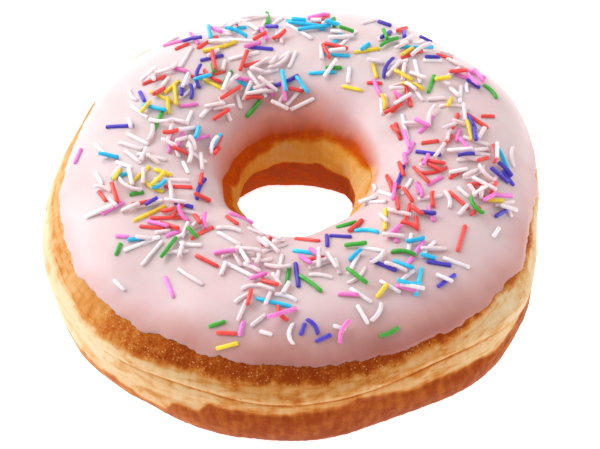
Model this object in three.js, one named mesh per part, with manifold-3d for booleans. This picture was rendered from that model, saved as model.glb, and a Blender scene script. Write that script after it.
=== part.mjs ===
// A raised ring doughnut: one ring of fried dough under a thin poured icing, strewn with sugar strands.
// Millimetres, +Z up. The ring rests on z = 0 and the axis of its hole is Z.
// A place on the ring is a turn (degrees round Z, from +X towards +Y) and a way (millimetres along the
// section from its crown, positive into the hole and negative down the outside).

import * as THREE from 'three';
import { mergeVertices } from 'three/addons/utils/BufferGeometryUtils.js';
import Module from 'manifold-3d';

const wasm = await Module();
wasm.setup();

// ---- Driving dimensions -------------------------------------------------------------------------

// The ring with its icing on: its section is a superellipse with its own fullness in each quarter.
const RING = { centreRadius: 30.4, halfWidth: 18.6, height: 32, waistHeight: 18.5 };
const FULLNESS = { outerTop: 2.25, outerBottom: 2.9, innerTop: 2.5, innerBottom: 2.0 };
const REST_FLAT = 0.4; // how far the underside is pressed flat where it rests
const CENTRE = { x: 0.4, y: -0.15 }; // moves the uneven ring so that its box is centred on Z

// Unevenness in plan: waves in a turn, depth in mm, and the turn of the first crest.
const OUTER_LOBES = [
  { waves: 2, depth: 0.47, crest: 57 },
  { waves: 3, depth: 0.37, crest: 84 },
  { waves: 4, depth: 0.75, crest: 40 },
  { waves: 5, depth: 0.3, crest: 42 },
  { waves: 6, depth: 0.55, crest: 17 },
  { waves: 7, depth: 0.3, crest: 17 },
];
const HOLE_LOBES = [
  { waves: 1, depth: 1.0, crest: 90 },
  { waves: 2, depth: 0.82, crest: 110 },
  { waves: 3, depth: 0.42, crest: 13 },
  { waves: 5, depth: 0.19, crest: 46 },
];
const LUMPS = { depth: 0.16, count: 5, leastWaves: 3, wavesStep: 2, wayPeriod: 34, seed: 7442 };

// The fold that runs round the side where the dough rose: the upper roll swells over it, and the lower
// one starts behind it, deepest at one turn. Below it is the shallow seam where the lower crust starts.
const FOLD = { way: -24.1, waves: 6, rise: 0.8, crest: 242, fade: 1.6, swell: 0.3, swellWidth: 1.6 };
const FOLD_DEPTH = { mean: 0.5, swing: 0.4, deepest: 260 };
const SEAM = { way: -29, waves: 2, rise: 0.9, crest: 268, depth: 0.3, halfWidth: 1.5 };

// The icing: a thin sheet that ends in a round lip outside and thins out down the hole.
const ICING = { thickness: 1.1, gap: 0.4, lip: 1.1, innerThickness: 0.4, taper: 7 };
const LIP_POINTS = [
  { over: -0.25, lift: 0.4 },
  { over: 0.15, lift: 0.82 },
];
// How far down the outside the icing ran: the way of its edge at each of these turns.
const ICING_EDGE = [
  { turn: 0, way: -21.3 },
  { turn: 50, way: -19 },
  { turn: 110, way: -17 },
  { turn: 180, way: -15.6 },
  { turn: 210, way: -16 },
  { turn: 244, way: -15.8 },
  { turn: 268, way: -16.3 },
  { turn: 278, way: -17.4 },
  { turn: 300, way: -17.9 },
  { turn: 320, way: -17.5 },
  { turn: 336, way: -19 },
];
const SCALLOPS = [
  { waves: 17, depth: 0.16, crest: 5 },
  { waves: 29, depth: 0.14, crest: 3 },
  { waves: 43, depth: 0.1, crest: 1 },
];
// How far down the hole it ran.
const ICING_INNER_EDGE = [
  { turn: 0, way: 17.6 },
  { turn: 30, way: 18.9 },
  { turn: 62, way: 20.3 },
  { turn: 100, way: 22 },
  { turn: 128, way: 22.8 },
  { turn: 150, way: 21.6 },
  { turn: 178, way: 19.2 },
  { turn: 200, way: 18.8 },
  { turn: 222, way: 22 },
  { turn: 318, way: 22 },
  { turn: 340, way: 18.8 },
];
// Where the dough starts to lie lower to bed the icing, and where it is down by the whole sheet: ways
// outside, and ways over the icing's inner edge in the hole.
const BED = { outerStart: -23, outerFull: -14, innerFull: -6, innerStart: 4 };

// Sugar strands. Those that lie crossed on others are too fine for the solid, which holds the longest
// of the strands that lie on the icing itself.
const STRANDS = {
  drawn: 920,
  modelled: 170,
  thickness: 0.9,
  shortest: 2.8,
  usual: 2.6,
  longShare: 0.1,
  long: 2.2,
  bentShare: 0.3,
  bend: 0.15,
  sunk: 0.3,
  leastBedded: 0.1,
  clear: 1.0,
  outerLimit: -15,
  innerLimit: 15.5,
  modelledLimit: 13.5,
  edgeMargin: 3.2,
  seed: 20417,
};
// Where the strands fell thickest: place, spread (degrees round, mm along the section) and share.
const DRIFTS = [
  { turn: 4, way: -5, spread: [7, 6], share: 32 },
  { turn: 20, way: 3, spread: [8, 4], share: 20 },
  { turn: 28, way: -6, spread: [8, 5], share: 24 },
  { turn: 42, way: 1, spread: [8, 5], share: 28 },
  { turn: 53, way: -8, spread: [6, 5], share: 24 },
  { turn: 72, way: 1, spread: [6, 4], share: 22 },
  { turn: 80, way: -7, spread: [6, 4], share: 18 },
  { turn: 98, way: 10, spread: [9, 3.5], share: 36 },
  { turn: 115, way: 8, spread: [6, 4.5], share: 24 },
  { turn: 103, way: -3, spread: [8, 4], share: 34 },
  { turn: 113, way: -9, spread: [9, 4], share: 20 },
  { turn: 128, way: 5, spread: [5, 5], share: 14 },
  { turn: 144, way: -2, spread: [8, 3], share: 24 },
  { turn: 157, way: 4, spread: [8, 4], share: 20 },
  { turn: 155, way: 13, spread: [9, 3], share: 10 },
  { turn: 174, way: 3, spread: [7, 6], share: 24 },
  { turn: 192, way: 2, spread: [8, 5], share: 32 },
  { turn: 210, way: 5, spread: [8, 3], share: 30 },
  { turn: 223, way: 0, spread: [6, 5], share: 26 },
  { turn: 248, way: 4, spread: [7, 5], share: 30 },
  { turn: 260, way: -2, spread: [5, 6], share: 28 },
  { turn: 283, way: 4, spread: [7, 4], share: 24 },
  { turn: 298, way: -2, spread: [9, 5], share: 20 },
  { turn: 313, way: 0, spread: [8, 5], share: 46 },
  { turn: 330, way: 7, spread: [9, 4], share: 24 },
  { turn: 346, way: 0, spread: [7, 6], share: 30 },
  { turn: 350, way: -9, spread: [7, 4], share: 26 },
];
// Strands that fell apart from the rest, each with its heading in degrees (0 is round the ring, 90 is
// into the hole) and how far it bows aside.
const LONE_STRANDS = [
  { turn: 248, way: -10.2, heading: 33, length: 3.2, bend: 0 },
  { turn: 251, way: -11.4, heading: 9, length: 3.8, bend: 0 },
  { turn: 254.5, way: -10, heading: 88, length: 3, bend: 0 },
  { turn: 252, way: -13.6, heading: 25, length: 4.2, bend: 0 },
  { turn: 261, way: -10.3, heading: 167, length: 2.4, bend: 0 },
  { turn: 268, way: -10.5, heading: 90, length: 4, bend: 0.8 },
  { turn: 270.5, way: -9.8, heading: 66, length: 2.5, bend: 0 },
  { turn: 273, way: -9.6, heading: 119, length: 3.6, bend: -0.5 },
  { turn: 275.5, way: -12, heading: 14, length: 3.2, bend: 0 },
  { turn: 280, way: -10.7, heading: 153, length: 2.4, bend: 0 },
  { turn: 287, way: -9.4, heading: 100, length: 4.1, bend: 0 },
  { turn: 210, way: -7.6, heading: 129, length: 2.7, bend: 0 },
  { turn: 207, way: -5.8, heading: 46, length: 2.6, bend: 0 },
  { turn: 171, way: -12.8, heading: 174, length: 3.9, bend: 0 },
  { turn: 160, way: -5.9, heading: 101, length: 5.6, bend: 0 },
  { turn: 182, way: -3, heading: 103, length: 4, bend: 0 },
  { turn: 195, way: -5.1, heading: 106, length: 4.9, bend: 0 },
  { turn: 226, way: 15.2, heading: 38, length: 5, bend: 0 },
  { turn: 226, way: 12.4, heading: 0, length: 3.3, bend: 0 },
  { turn: 334, way: -11.6, heading: 166, length: 2.9, bend: 0 },
  { turn: 343, way: -13.4, heading: 31, length: 3, bend: 0 },
  { turn: 312, way: -9.7, heading: 1, length: 4.5, bend: 0 },
  { turn: 326, way: -6.2, heading: 12, length: 6.5, bend: 0 },
  { turn: 318, way: -8.2, heading: 114, length: 5.3, bend: 0 },
];

// Fineness of the faceted solids: columns round the ring, and rows in each stretch of the section.
const COLUMNS = 80;
const ROWS = { underside: 6, lowerRoll: 3, upperRoll: 3, underIcing: 6, hole: 6, icingTop: 7 };
const FOLD_STEP = 0.15; // the fold's two edges lie this far above and below its line

// ---- Small tools --------------------------------------------------------------------------------

const { clamp, degToRad, euclideanModulo, lerp, radToDeg, smoothstep } = THREE.MathUtils;

// A seeded stream of numbers from 0 to 1 (the minimal standard generator).
function makeDraw(seed) {
  const multiplier = 48271;
  const modulus = 2147483647;
  let state = seed;
  return () => {
    state = (state * multiplier) % modulus;
    return state / modulus;
  };
}

function sumOfWaves(waves, turn) {
  return waves.reduce((sum, wave) => {
    const along = Math.cos(wave.waves * degToRad(turn - wave.crest));
    return sum + wave.depth * along;
  }, 0);
}

// A smooth closed curve through stations { turn, way }, by cosine easing from each to the next.
function alongStations(stations, turn) {
  const at = euclideanModulo(turn, 360);
  const next = stations.findIndex((station) => station.turn > at);
  const after = next < 0 ? { ...stations[0], turn: 360 + stations[0].turn } : stations[next];
  const before = next < 0 ? stations[stations.length - 1] : stations[next - 1];
  const share = (at - before.turn) / (after.turn - before.turn);
  return lerp(before.way, after.way, 0.5 - 0.5 * Math.cos(Math.PI * share));
}

// ---- The section --------------------------------------------------------------------------------

// The superellipse at an angle: 0 is the outer waist, 90 the crown, 180 the hole's waist, 270 below.
function sectionAt(angle) {
  const cos = Math.cos(degToRad(angle));
  const sin = Math.sin(degToRad(angle));
  const above = sin >= 0;
  const outside = cos >= 0;
  const top = outside ? FULLNESS.outerTop : FULLNESS.innerTop;
  const bottom = outside ? FULLNESS.outerBottom : FULLNESS.innerBottom;
  const fullness = above ? top : bottom;
  const rise = above ? RING.height - RING.waistHeight : RING.waistHeight;
  const across = Math.sign(cos) * Math.abs(cos) ** (2 / fullness);
  const up = Math.sign(sin) * Math.abs(sin) ** (2 / fullness);
  const normal = new THREE.Vector2(
    (Math.sign(across) * Math.abs(across) ** (fullness - 1)) / RING.halfWidth,
    (Math.sign(up) * Math.abs(up) ** (fullness - 1)) / rise,
  ).normalize();
  return { across: across * RING.halfWidth, height: RING.waistHeight + up * rise, normal };
}

// Length along the section from the crown, outwards and inwards, as a table of way against angle.
const WAY_STEP = 0.25;
function measureWays(direction) {
  const ways = [0];
  let last = sectionAt(90);
  for (let step = 1; step <= 180 / WAY_STEP; step += 1) {
    const here = sectionAt(90 + direction * step * WAY_STEP);
    ways.push(ways[step - 1] + Math.hypot(here.across - last.across, here.height - last.height));
    last = here;
  }
  return ways;
}
const INWARD_WAYS = measureWays(1);
const OUTWARD_WAYS = measureWays(-1);

function sectionAtWay(way) {
  const ways = way > 0 ? INWARD_WAYS : OUTWARD_WAYS;
  const length = Math.min(Math.abs(way), ways[ways.length - 1]);
  const step = Math.max(1, ways.findIndex((entry) => entry >= length));
  const share = (length - ways[step - 1]) / (ways[step] - ways[step - 1]);
  const angle = 90 + Math.sign(way) * (step - 1 + share) * WAY_STEP;
  return sectionAt(angle);
}

// ---- The ring's surface -------------------------------------------------------------------------

const drawLump = makeDraw(LUMPS.seed);
const LUMP_WAVES = Array.from({ length: LUMPS.count }, (_, index) => ({
  waves: LUMPS.leastWaves + LUMPS.wavesStep * index,
  phase: 2 * Math.PI * drawLump(),
  wayPhase: 2 * Math.PI * drawLump(),
}));

function lumpAt(turn, way) {
  const round = (2 * Math.PI * way) / LUMPS.wayPeriod;
  return LUMP_WAVES.reduce((sum, wave, index) => {
    const along = Math.cos(degToRad(turn) * wave.waves + wave.phase);
    return sum + LUMPS.depth * along * Math.cos(round * (1 + (index % 2)) + wave.wayPhase);
  }, 0);
}

const outerEdge = (turn) => alongStations(ICING_EDGE, turn) + sumOfWaves(SCALLOPS, turn);
const innerEdge = (turn) => alongStations(ICING_INNER_EDGE, turn);
const lineWay = (line, turn) => line.way + line.rise * Math.cos(line.waves * degToRad(turn - line.crest));

// How far the side stands out or in round the fold and the seam.
function sideRelief(turn, way) {
  const overFold = way - lineWay(FOLD, turn);
  const swell = FOLD.swell * Math.exp(-(((overFold - FOLD.swellWidth) / FOLD.swellWidth) ** 2));
  const depth = FOLD_DEPTH.mean + FOLD_DEPTH.swing * Math.cos(degToRad(turn - FOLD_DEPTH.deepest));
  const fold = overFold > 0 ? swell : swell - depth * Math.exp(overFold / FOLD.fade);
  const overSeam = (way - lineWay(SEAM, turn)) / SEAM.halfWidth;
  return fold - SEAM.depth * Math.exp(-(overSeam ** 2));
}

function bedDepth(turn, way) {
  const outer = smoothstep(way, BED.outerStart, BED.outerFull);
  const inner = 1 - smoothstep(way - innerEdge(turn), BED.innerFull, BED.innerStart);
  return (ICING.thickness + ICING.gap) * Math.min(outer, inner);
}

// A point of the ring, moved out along the section's normal.
function ringPoint(turn, section, offset) {
  const outward = clamp((section.across + RING.halfWidth) / (2 * RING.halfWidth), 0, 1);
  const lobe = lerp(sumOfWaves(HOLE_LOBES, turn), sumOfWaves(OUTER_LOBES, turn), outward);
  const radius = RING.centreRadius + section.across + lobe + section.normal.x * offset;
  const height = Math.max(0, section.height - REST_FLAT + section.normal.y * offset);
  const angle = degToRad(turn);
  const x = CENTRE.x + radius * Math.cos(angle);
  return new THREE.Vector3(x, CENTRE.y + radius * Math.sin(angle), height);
}

// A point a lift above the dough's surface.
function doughPoint(turn, way, lift) {
  const offset = lumpAt(turn, way) - bedDepth(turn, way) + sideRelief(turn, way) + lift;
  return ringPoint(turn, sectionAtWay(way), offset);
}

function icingThickness(turn, way) {
  const thinning = smoothstep(way, innerEdge(turn) - ICING.taper, innerEdge(turn));
  return lerp(ICING.thickness, ICING.innerThickness, thinning);
}

// ---- Closed rings from a lathe ------------------------------------------------------------------

// A ring of COLUMNS by rows, with its vertices placed by a function of the turn and the row.
function latheRing(rows, place) {
  const profile = Array.from({ length: rows + 1 }, (_, row) => {
    const angle = (2 * Math.PI * row) / rows;
    return new THREE.Vector2(RING.centreRadius + Math.cos(angle), Math.sin(angle));
  });
  const geometry = new THREE.LatheGeometry(profile, COLUMNS);
  const position = geometry.attributes.position;
  for (let index = 0; index < position.count; index += 1) {
    const column = Math.floor(index / (rows + 1)) % COLUMNS;
    const point = place((360 * column) / COLUMNS, (index % (rows + 1)) % rows);
    position.setXYZ(index, point.x, point.y, point.z);
  }
  geometry.deleteAttribute('normal');
  geometry.deleteAttribute('uv');
  return mergeVertices(geometry, 1e-4);
}

// Evenly spaced ways from one place towards another, without the last.
function spread(from, to, count) {
  return Array.from({ length: count }, (_, row) => lerp(from, to, row / count));
}

// Ways round the whole section at a turn, with rows along the seam, the fold and the icing's edges.
function doughWays(turn) {
  const seam = lineWay(SEAM, turn);
  const fold = lineWay(FOLD, turn);
  const inner = innerEdge(turn);
  return [
    ...spread(-OUTWARD_WAYS[OUTWARD_WAYS.length - 1], seam, ROWS.underside),
    ...spread(seam, fold - FOLD_STEP, ROWS.lowerRoll),
    fold - FOLD_STEP,
    ...spread(fold + FOLD_STEP, outerEdge(turn), ROWS.upperRoll),
    ...spread(outerEdge(turn), inner, ROWS.underIcing),
    ...spread(inner, INWARD_WAYS[INWARD_WAYS.length - 1], ROWS.hole),
  ];
}

function makeDough() {
  return latheRing(doughWays(0).length, (turn, row) => doughPoint(turn, doughWays(turn)[row], 0));
}

// The icing's section at a turn as { way, lift }, round from its outer edge: the lip, the top, and the
// underside, which follows the dough's own rows. A lift of 1 is the sheet's whole thickness.
function icingSection(turn) {
  const outer = outerEdge(turn);
  const inner = innerEdge(turn);
  const lip = LIP_POINTS.map((point) => ({ way: outer + point.over, lift: point.lift }));
  const topWays = [...spread(outer + ICING.lip, inner, ROWS.icingTop), inner];
  const underWays = [...spread(outer, inner, ROWS.underIcing), inner].reverse();
  return [
    ...lip,
    ...topWays.map((way) => ({ way, lift: 1 })),
    ...underWays.map((way) => ({ way, lift: 0 })),
  ];
}

function makeIcingSheet() {
  return latheRing(icingSection(0).length, (turn, row) => {
    const { way, lift } = icingSection(turn)[row];
    return doughPoint(turn, way, ICING.gap + lift * icingThickness(turn, way));
  });
}

// ---- Sugar strands ------------------------------------------------------------------------------

function drawBell(draw) {
  return Math.sqrt(-2 * Math.log(draw())) * Math.cos(2 * Math.PI * draw());
}

function pickDrift(draw) {
  let left = draw() * DRIFTS.reduce((sum, drift) => sum + drift.share, 0);
  return DRIFTS.find((drift) => (left -= drift.share) < 0) ?? DRIFTS[0];
}

// One strand as drawn: its middle, heading, length and how far it bows aside.
function drawStrand(draw) {
  const drift = pickDrift(draw);
  const turn = drift.turn + drift.spread[0] * drawBell(draw);
  const way = drift.way + drift.spread[1] * drawBell(draw);
  const heading = Math.PI * draw();
  const extra = draw() < STRANDS.longShare ? STRANDS.long : 0;
  const length = STRANDS.shortest + STRANDS.usual * draw() + extra;
  const bent = draw() < STRANDS.bentShare;
  const sideways = STRANDS.bend * length * (2 * draw() - 1);
  return { turn, way, heading, length, bend: bent ? sideways : 0 };
}

function strandFits(strand) {
  const reach = Math.abs(Math.sin(strand.heading)) * strand.length * 0.5;
  const lowest = Math.max(STRANDS.outerLimit, outerEdge(strand.turn) + STRANDS.edgeMargin);
  return strand.way - reach > lowest && strand.way + reach < STRANDS.innerLimit;
}

// A strand laid on the icing: its middle, and its directions along, aside and up.
function layStrand(strand) {
  const lift = ICING.gap + STRANDS.thickness / 2 - STRANDS.sunk;
  const radius = RING.centreRadius + sectionAtWay(strand.way).across;
  const spot = (along, aside) => {
    const round = along * Math.cos(strand.heading) - aside * Math.sin(strand.heading);
    const way = strand.way + along * Math.sin(strand.heading) + aside * Math.cos(strand.heading);
    return doughPoint(strand.turn + radToDeg(round / radius), way, lift + icingThickness(strand.turn, way));
  };
  const half = strand.length / 2;
  const start = spot(-half, 0);
  const end = spot(half, 0);
  const along = end.clone().sub(start).normalize();
  const aside = spot(0, half).sub(spot(0, -half));
  const up = along.clone().cross(aside).normalize();
  const middle = start.clone().lerp(end, 0.5).lerp(spot(0, 0), 0.5);
  return { ...strand, middle, along, up, aside: up.clone().cross(along) };
}

// Points along the strand's middle line, for keeping it clear of the others.
function strandPoints(strand) {
  const steps = 8;
  return Array.from({ length: steps + 1 }, (_, step) => {
    const share = (2 * step) / steps - 1;
    return strand.middle
      .clone()
      .addScaledVector(strand.along, (share * strand.length) / 2)
      .addScaledVector(strand.aside, strand.bend * (1 - share * share));
  });
}

function tooClose(points, others) {
  return points.some((point) => others.some((other) => point.distanceTo(other) < STRANDS.clear));
}

// The strands that lie on the icing, the longest first: the lone ones, and drawn ones that are each
// clear of those laid before.
function layStrands() {
  const longestFirst = (one, other) => other.length - one.length;
  const draw = makeDraw(STRANDS.seed);
  const drawn = Array.from({ length: STRANDS.drawn }, () => drawStrand(draw)).filter(strandFits);
  const lone = LONE_STRANDS.map((strand) => ({ ...strand, heading: degToRad(strand.heading) }));
  const laid = lone.map(layStrand).map((strand) => ({ ...strand, points: strandPoints(strand) }));
  drawn.sort(longestFirst).map(layStrand).forEach((strand) => {
    const points = strandPoints(strand);
    if (!laid.some((other) => tooClose(points, other.points))) laid.push({ ...strand, points });
  });
  return laid.sort(longestFirst);
}

// A square bar of the strand's thickness, kinked in its middle where the strand is bent.
function strandGeometry(strand) {
  const half = strand.length / 2;
  const wide = STRANDS.thickness / 2;
  const knee = strand.bend === 0 ? [] : [0];
  const line = [-half, ...knee, half].map((along) => [along, along === 0 ? strand.bend : 0]);
  const corners = [
    ...line.map(([along, aside]) => new THREE.Vector2(along, aside - wide)),
    ...line.reverse().map(([along, aside]) => new THREE.Vector2(along, aside + wide)),
  ];
  const geometry = new THREE.ExtrudeGeometry(new THREE.Shape(corners), {
    depth: STRANDS.thickness,
    bevelEnabled: false,
  });
  geometry.deleteAttribute('normal');
  geometry.deleteAttribute('uv');
  geometry.translate(0, 0, -STRANDS.thickness / 2);
  const stance = new THREE.Matrix4().makeBasis(strand.along, strand.aside, strand.up);
  geometry.applyMatrix4(stance.setPosition(strand.middle));
  return mergeVertices(geometry, 1e-4);
}

// ---- Joining ------------------------------------------------------------------------------------

function toSolid(geometry) {
  const vertProperties = Float32Array.from(geometry.attributes.position.array);
  const triVerts = Uint32Array.from(geometry.index.array);
  return new wasm.Manifold(new wasm.Mesh({ numProp: 3, vertProperties, triVerts }));
}

function toGeometry(solid) {
  const mesh = solid.getMesh();
  const geometry = new THREE.BufferGeometry();
  geometry.setAttribute('position', new THREE.BufferAttribute(mesh.vertProperties, 3));
  geometry.setIndex(new THREE.BufferAttribute(mesh.triVerts, 1));
  return geometry;
}

// The sheet with the longest strands fused on, of those that sink into its facets.
function makeIcing() {
  const sheet = toSolid(makeIcingSheet());
  const strands = layStrands()
    .filter((strand) => strand.way < STRANDS.modelledLimit)
    .map((strand) => toSolid(strandGeometry(strand)))
    .filter((strand) => sheet.intersect(strand).volume() > STRANDS.leastBedded)
    .slice(0, STRANDS.modelled);
  return toGeometry(strands.reduce((joined, strand) => joined.add(strand), sheet));
}

// ---- The part -----------------------------------------------------------------------------------

function namedMesh(name, geometry, color, roughness) {
  const mesh = new THREE.Mesh(geometry, new THREE.MeshStandardMaterial({ color, roughness, metalness: 0 }));
  mesh.name = name;
  return mesh;
}

const doughnut = new THREE.Group();
doughnut.add(namedMesh('dough_ring', makeDough(), '#c98a4b', 0.7));
doughnut.add(namedMesh('icing', makeIcing(), '#e9c9c6', 0.3));

export default doughnut;
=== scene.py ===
"""A sprinkle frosted doughnut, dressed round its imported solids.

A raised ring of fried dough under a thin poured icing, strewn with sugar strands. Sizes are in
millimetres and meshes in metres, +Z up, with the axis of the hole on Z. A place on the ring is a turn
(degrees round Z, from +X towards +Y) and a way (millimetres along the section from its crown, positive
into the hole and negative down the outside).
"""

from __future__ import annotations

import logging
import math
from dataclasses import dataclass
from enum import Enum
from functools import cached_property
from typing import Callable, Sequence

import bmesh
import bpy
import numpy as np
from mathutils import Matrix, Vector, noise


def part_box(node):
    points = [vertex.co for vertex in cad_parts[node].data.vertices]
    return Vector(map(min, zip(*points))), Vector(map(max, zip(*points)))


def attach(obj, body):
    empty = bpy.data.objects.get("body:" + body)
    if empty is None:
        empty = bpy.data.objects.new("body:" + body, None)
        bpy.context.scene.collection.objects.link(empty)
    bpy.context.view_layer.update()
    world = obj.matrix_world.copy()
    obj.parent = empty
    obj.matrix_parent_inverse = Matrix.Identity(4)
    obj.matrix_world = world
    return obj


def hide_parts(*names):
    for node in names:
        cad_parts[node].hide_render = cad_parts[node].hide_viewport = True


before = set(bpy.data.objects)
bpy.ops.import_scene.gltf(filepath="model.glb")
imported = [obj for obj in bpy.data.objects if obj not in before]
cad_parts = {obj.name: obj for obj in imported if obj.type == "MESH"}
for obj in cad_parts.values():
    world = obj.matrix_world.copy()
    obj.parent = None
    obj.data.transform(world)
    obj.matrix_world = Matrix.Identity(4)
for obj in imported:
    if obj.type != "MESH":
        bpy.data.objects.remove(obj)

Array = np.ndarray
Rgba = tuple[float, float, float, float]
Placing = Callable[[np.ndarray, np.ndarray], tuple[np.ndarray, dict[str, np.ndarray]]]

MM = 0.001
BODY = "root"

log = logging.getLogger("doughnut")


# ---- Small tools --------------------------------------------------------------------------------


def smoothstep(value: Array, low: float, high: float) -> Array:
    """A smooth rise from 0 at low to 1 at high.

    Args:
        value: Where it is wanted.
        low: Where it leaves 0.
        high: Where it reaches 1.

    Returns:
        The height of the rise.
    """
    share = np.clip((value - low) / (high - low), 0.0, 1.0)
    return share * share * (3.0 - 2.0 * share)


def blend(low: Array | float, high: Array | float, share: Array | float) -> Array:
    """What lies a share of the way from low to high."""
    return low + (high - low) * share


def grain(points: Array, size: float, octaves: int = 1, shift: float = 0.0) -> Array:
    """Smooth noise through space.

    Args:
        points: Places in millimetres, one a row.
        size: The width of its bumps in millimetres.
        octaves: How many finer layers it has, each half as wide and half as strong.
        shift: Moves it, so that two uses differ.

    Returns:
        A value from about -1 to 1 for each place.
    """
    places = (points / size + shift).tolist()
    layers = (noise.fractal(Vector(place), 1.0, 2.0, octaves) for place in places)
    return np.fromiter(layers, float, len(places))


def paint(code: str) -> Rgba:
    """A colour in linear light from its six-digit code.

    Args:
        code: The colour as "#rrggbb".

    Returns:
        Its red, green, blue and alpha.
    """
    levels = [int(code[place:place + 2], 16) / 255.0 for place in (1, 3, 5)]
    linear = [level / 12.92 if level <= 0.04045 else ((level + 0.055) / 1.055) ** 2.4 for level in levels]
    return (linear[0], linear[1], linear[2], 1.0)


class Draw:
    """A seeded stream of numbers from 0 to 1 (the minimal standard generator)."""

    multiplier = 48271
    modulus = 2147483647

    def __init__(self, seed: int) -> None:
        """Starts the stream at its seed."""
        self.state = seed

    def next(self) -> float:
        """The next number."""
        self.state = self.state * self.multiplier % self.modulus
        return self.state / self.modulus

    def bell(self) -> float:
        """The next number of a bell curve round 0 with a spread of 1."""
        far = math.sqrt(-2.0 * math.log(self.next()))
        return far * math.cos(2.0 * math.pi * self.next())


@dataclass(frozen=True)
class Wave:
    """A wave of unevenness round the ring: how many to a turn, its depth and the turn of its crest."""

    waves: int
    depth: float
    crest: float


def sum_of_waves(waves: Sequence[Wave], turn: Array) -> Array:
    """The height of several waves together at each turn."""
    return sum(wave.depth * np.cos(np.radians(wave.waves * (turn - wave.crest))) for wave in waves)


@dataclass(frozen=True)
class Curve:
    """A smooth closed curve round the ring: the turns of its stations and its value at each."""

    stations: tuple[tuple[float, float], ...]

    def at(self, turn: Array) -> Array:
        """Its value at each turn, by cosine easing from each station to the next."""
        first = self.stations[0]
        turns, values = np.array([*self.stations, (first[0] + 360.0, first[1])]).T
        at = (turn - turns[0]) % 360.0 + turns[0]
        index = np.clip(np.searchsorted(turns, at, side="right") - 1, 0, len(self.stations) - 1)
        share = (at - turns[index]) / (turns[index + 1] - turns[index])
        return blend(values[index], values[index + 1], 0.5 - 0.5 * np.cos(np.pi * share))


# ---- The ring's form ----------------------------------------------------------------------------


@dataclass(frozen=True)
class Section:
    """The ring's section: a superellipse with its own fullness in each quarter."""

    half_width: float = 18.6
    height: float = 32.0
    waist: float = 18.5
    outer_top: float = 2.25
    outer_bottom: float = 2.9
    inner_top: float = 2.5
    inner_bottom: float = 2.0
    angle_step: float = 0.25

    def at_angle(self, angle: Array) -> tuple[Array, Array, Array, Array]:
        """Points of the section.

        Args:
            angle: Degrees: 0 is the outer waist, 90 the crown, 180 the waist in the hole, 270 below.

        Returns:
            How far out each point lies, its height, and its normal's two parts, out and up.
        """
        cos, sin = np.cos(np.radians(angle)), np.sin(np.radians(angle))
        above, outside = sin >= 0.0, cos >= 0.0
        top = np.where(outside, self.outer_top, self.inner_top)
        bottom = np.where(outside, self.outer_bottom, self.inner_bottom)
        fullness = np.where(above, top, bottom)
        rise = np.where(above, self.height - self.waist, self.waist)
        across = np.sign(cos) * np.abs(cos) ** (2.0 / fullness)
        up = np.sign(sin) * np.abs(sin) ** (2.0 / fullness)
        normal_out = np.sign(across) * np.abs(across) ** (fullness - 1.0) / self.half_width
        normal_up = np.sign(up) * np.abs(up) ** (fullness - 1.0) / rise
        length = np.hypot(normal_out, normal_up)
        height = self.waist + up * rise
        return across * self.half_width, height, normal_out / length, normal_up / length

    def measure(self, direction: int) -> tuple[Array, Array]:
        """Angles from the crown to the underside, and the length of the section up to each."""
        angles = 90.0 + direction * np.arange(0.0, 180.0 + self.angle_step, self.angle_step)
        across, height, _, _ = self.at_angle(angles)
        steps = np.hypot(np.diff(across), np.diff(height))
        return angles, np.concatenate([[0.0], np.cumsum(steps)])

    @cached_property
    def inward(self) -> tuple[Array, Array]:
        """Angles and lengths from the crown through the hole."""
        return self.measure(1)

    @cached_property
    def outward(self) -> tuple[Array, Array]:
        """Angles and lengths from the crown down the outside."""
        return self.measure(-1)

    def at_way(self, way: Array) -> tuple[Array, Array, Array, Array]:
        """Points of the section at ways from its crown, as at_angle gives them."""
        inside = np.interp(way, self.inward[1], self.inward[0])
        outside = np.interp(-way, self.outward[1], self.outward[0])
        return self.at_angle(np.where(way > 0.0, inside, outside))


@dataclass(frozen=True)
class Line:
    """A line round the side: its way, and how it wanders up and down."""

    way: float
    waves: int
    rise: float
    crest: float

    def at(self, turn: Array) -> Array:
        """Its way at each turn."""
        return self.way + self.rise * np.cos(np.radians(self.waves * (turn - self.crest)))


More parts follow.
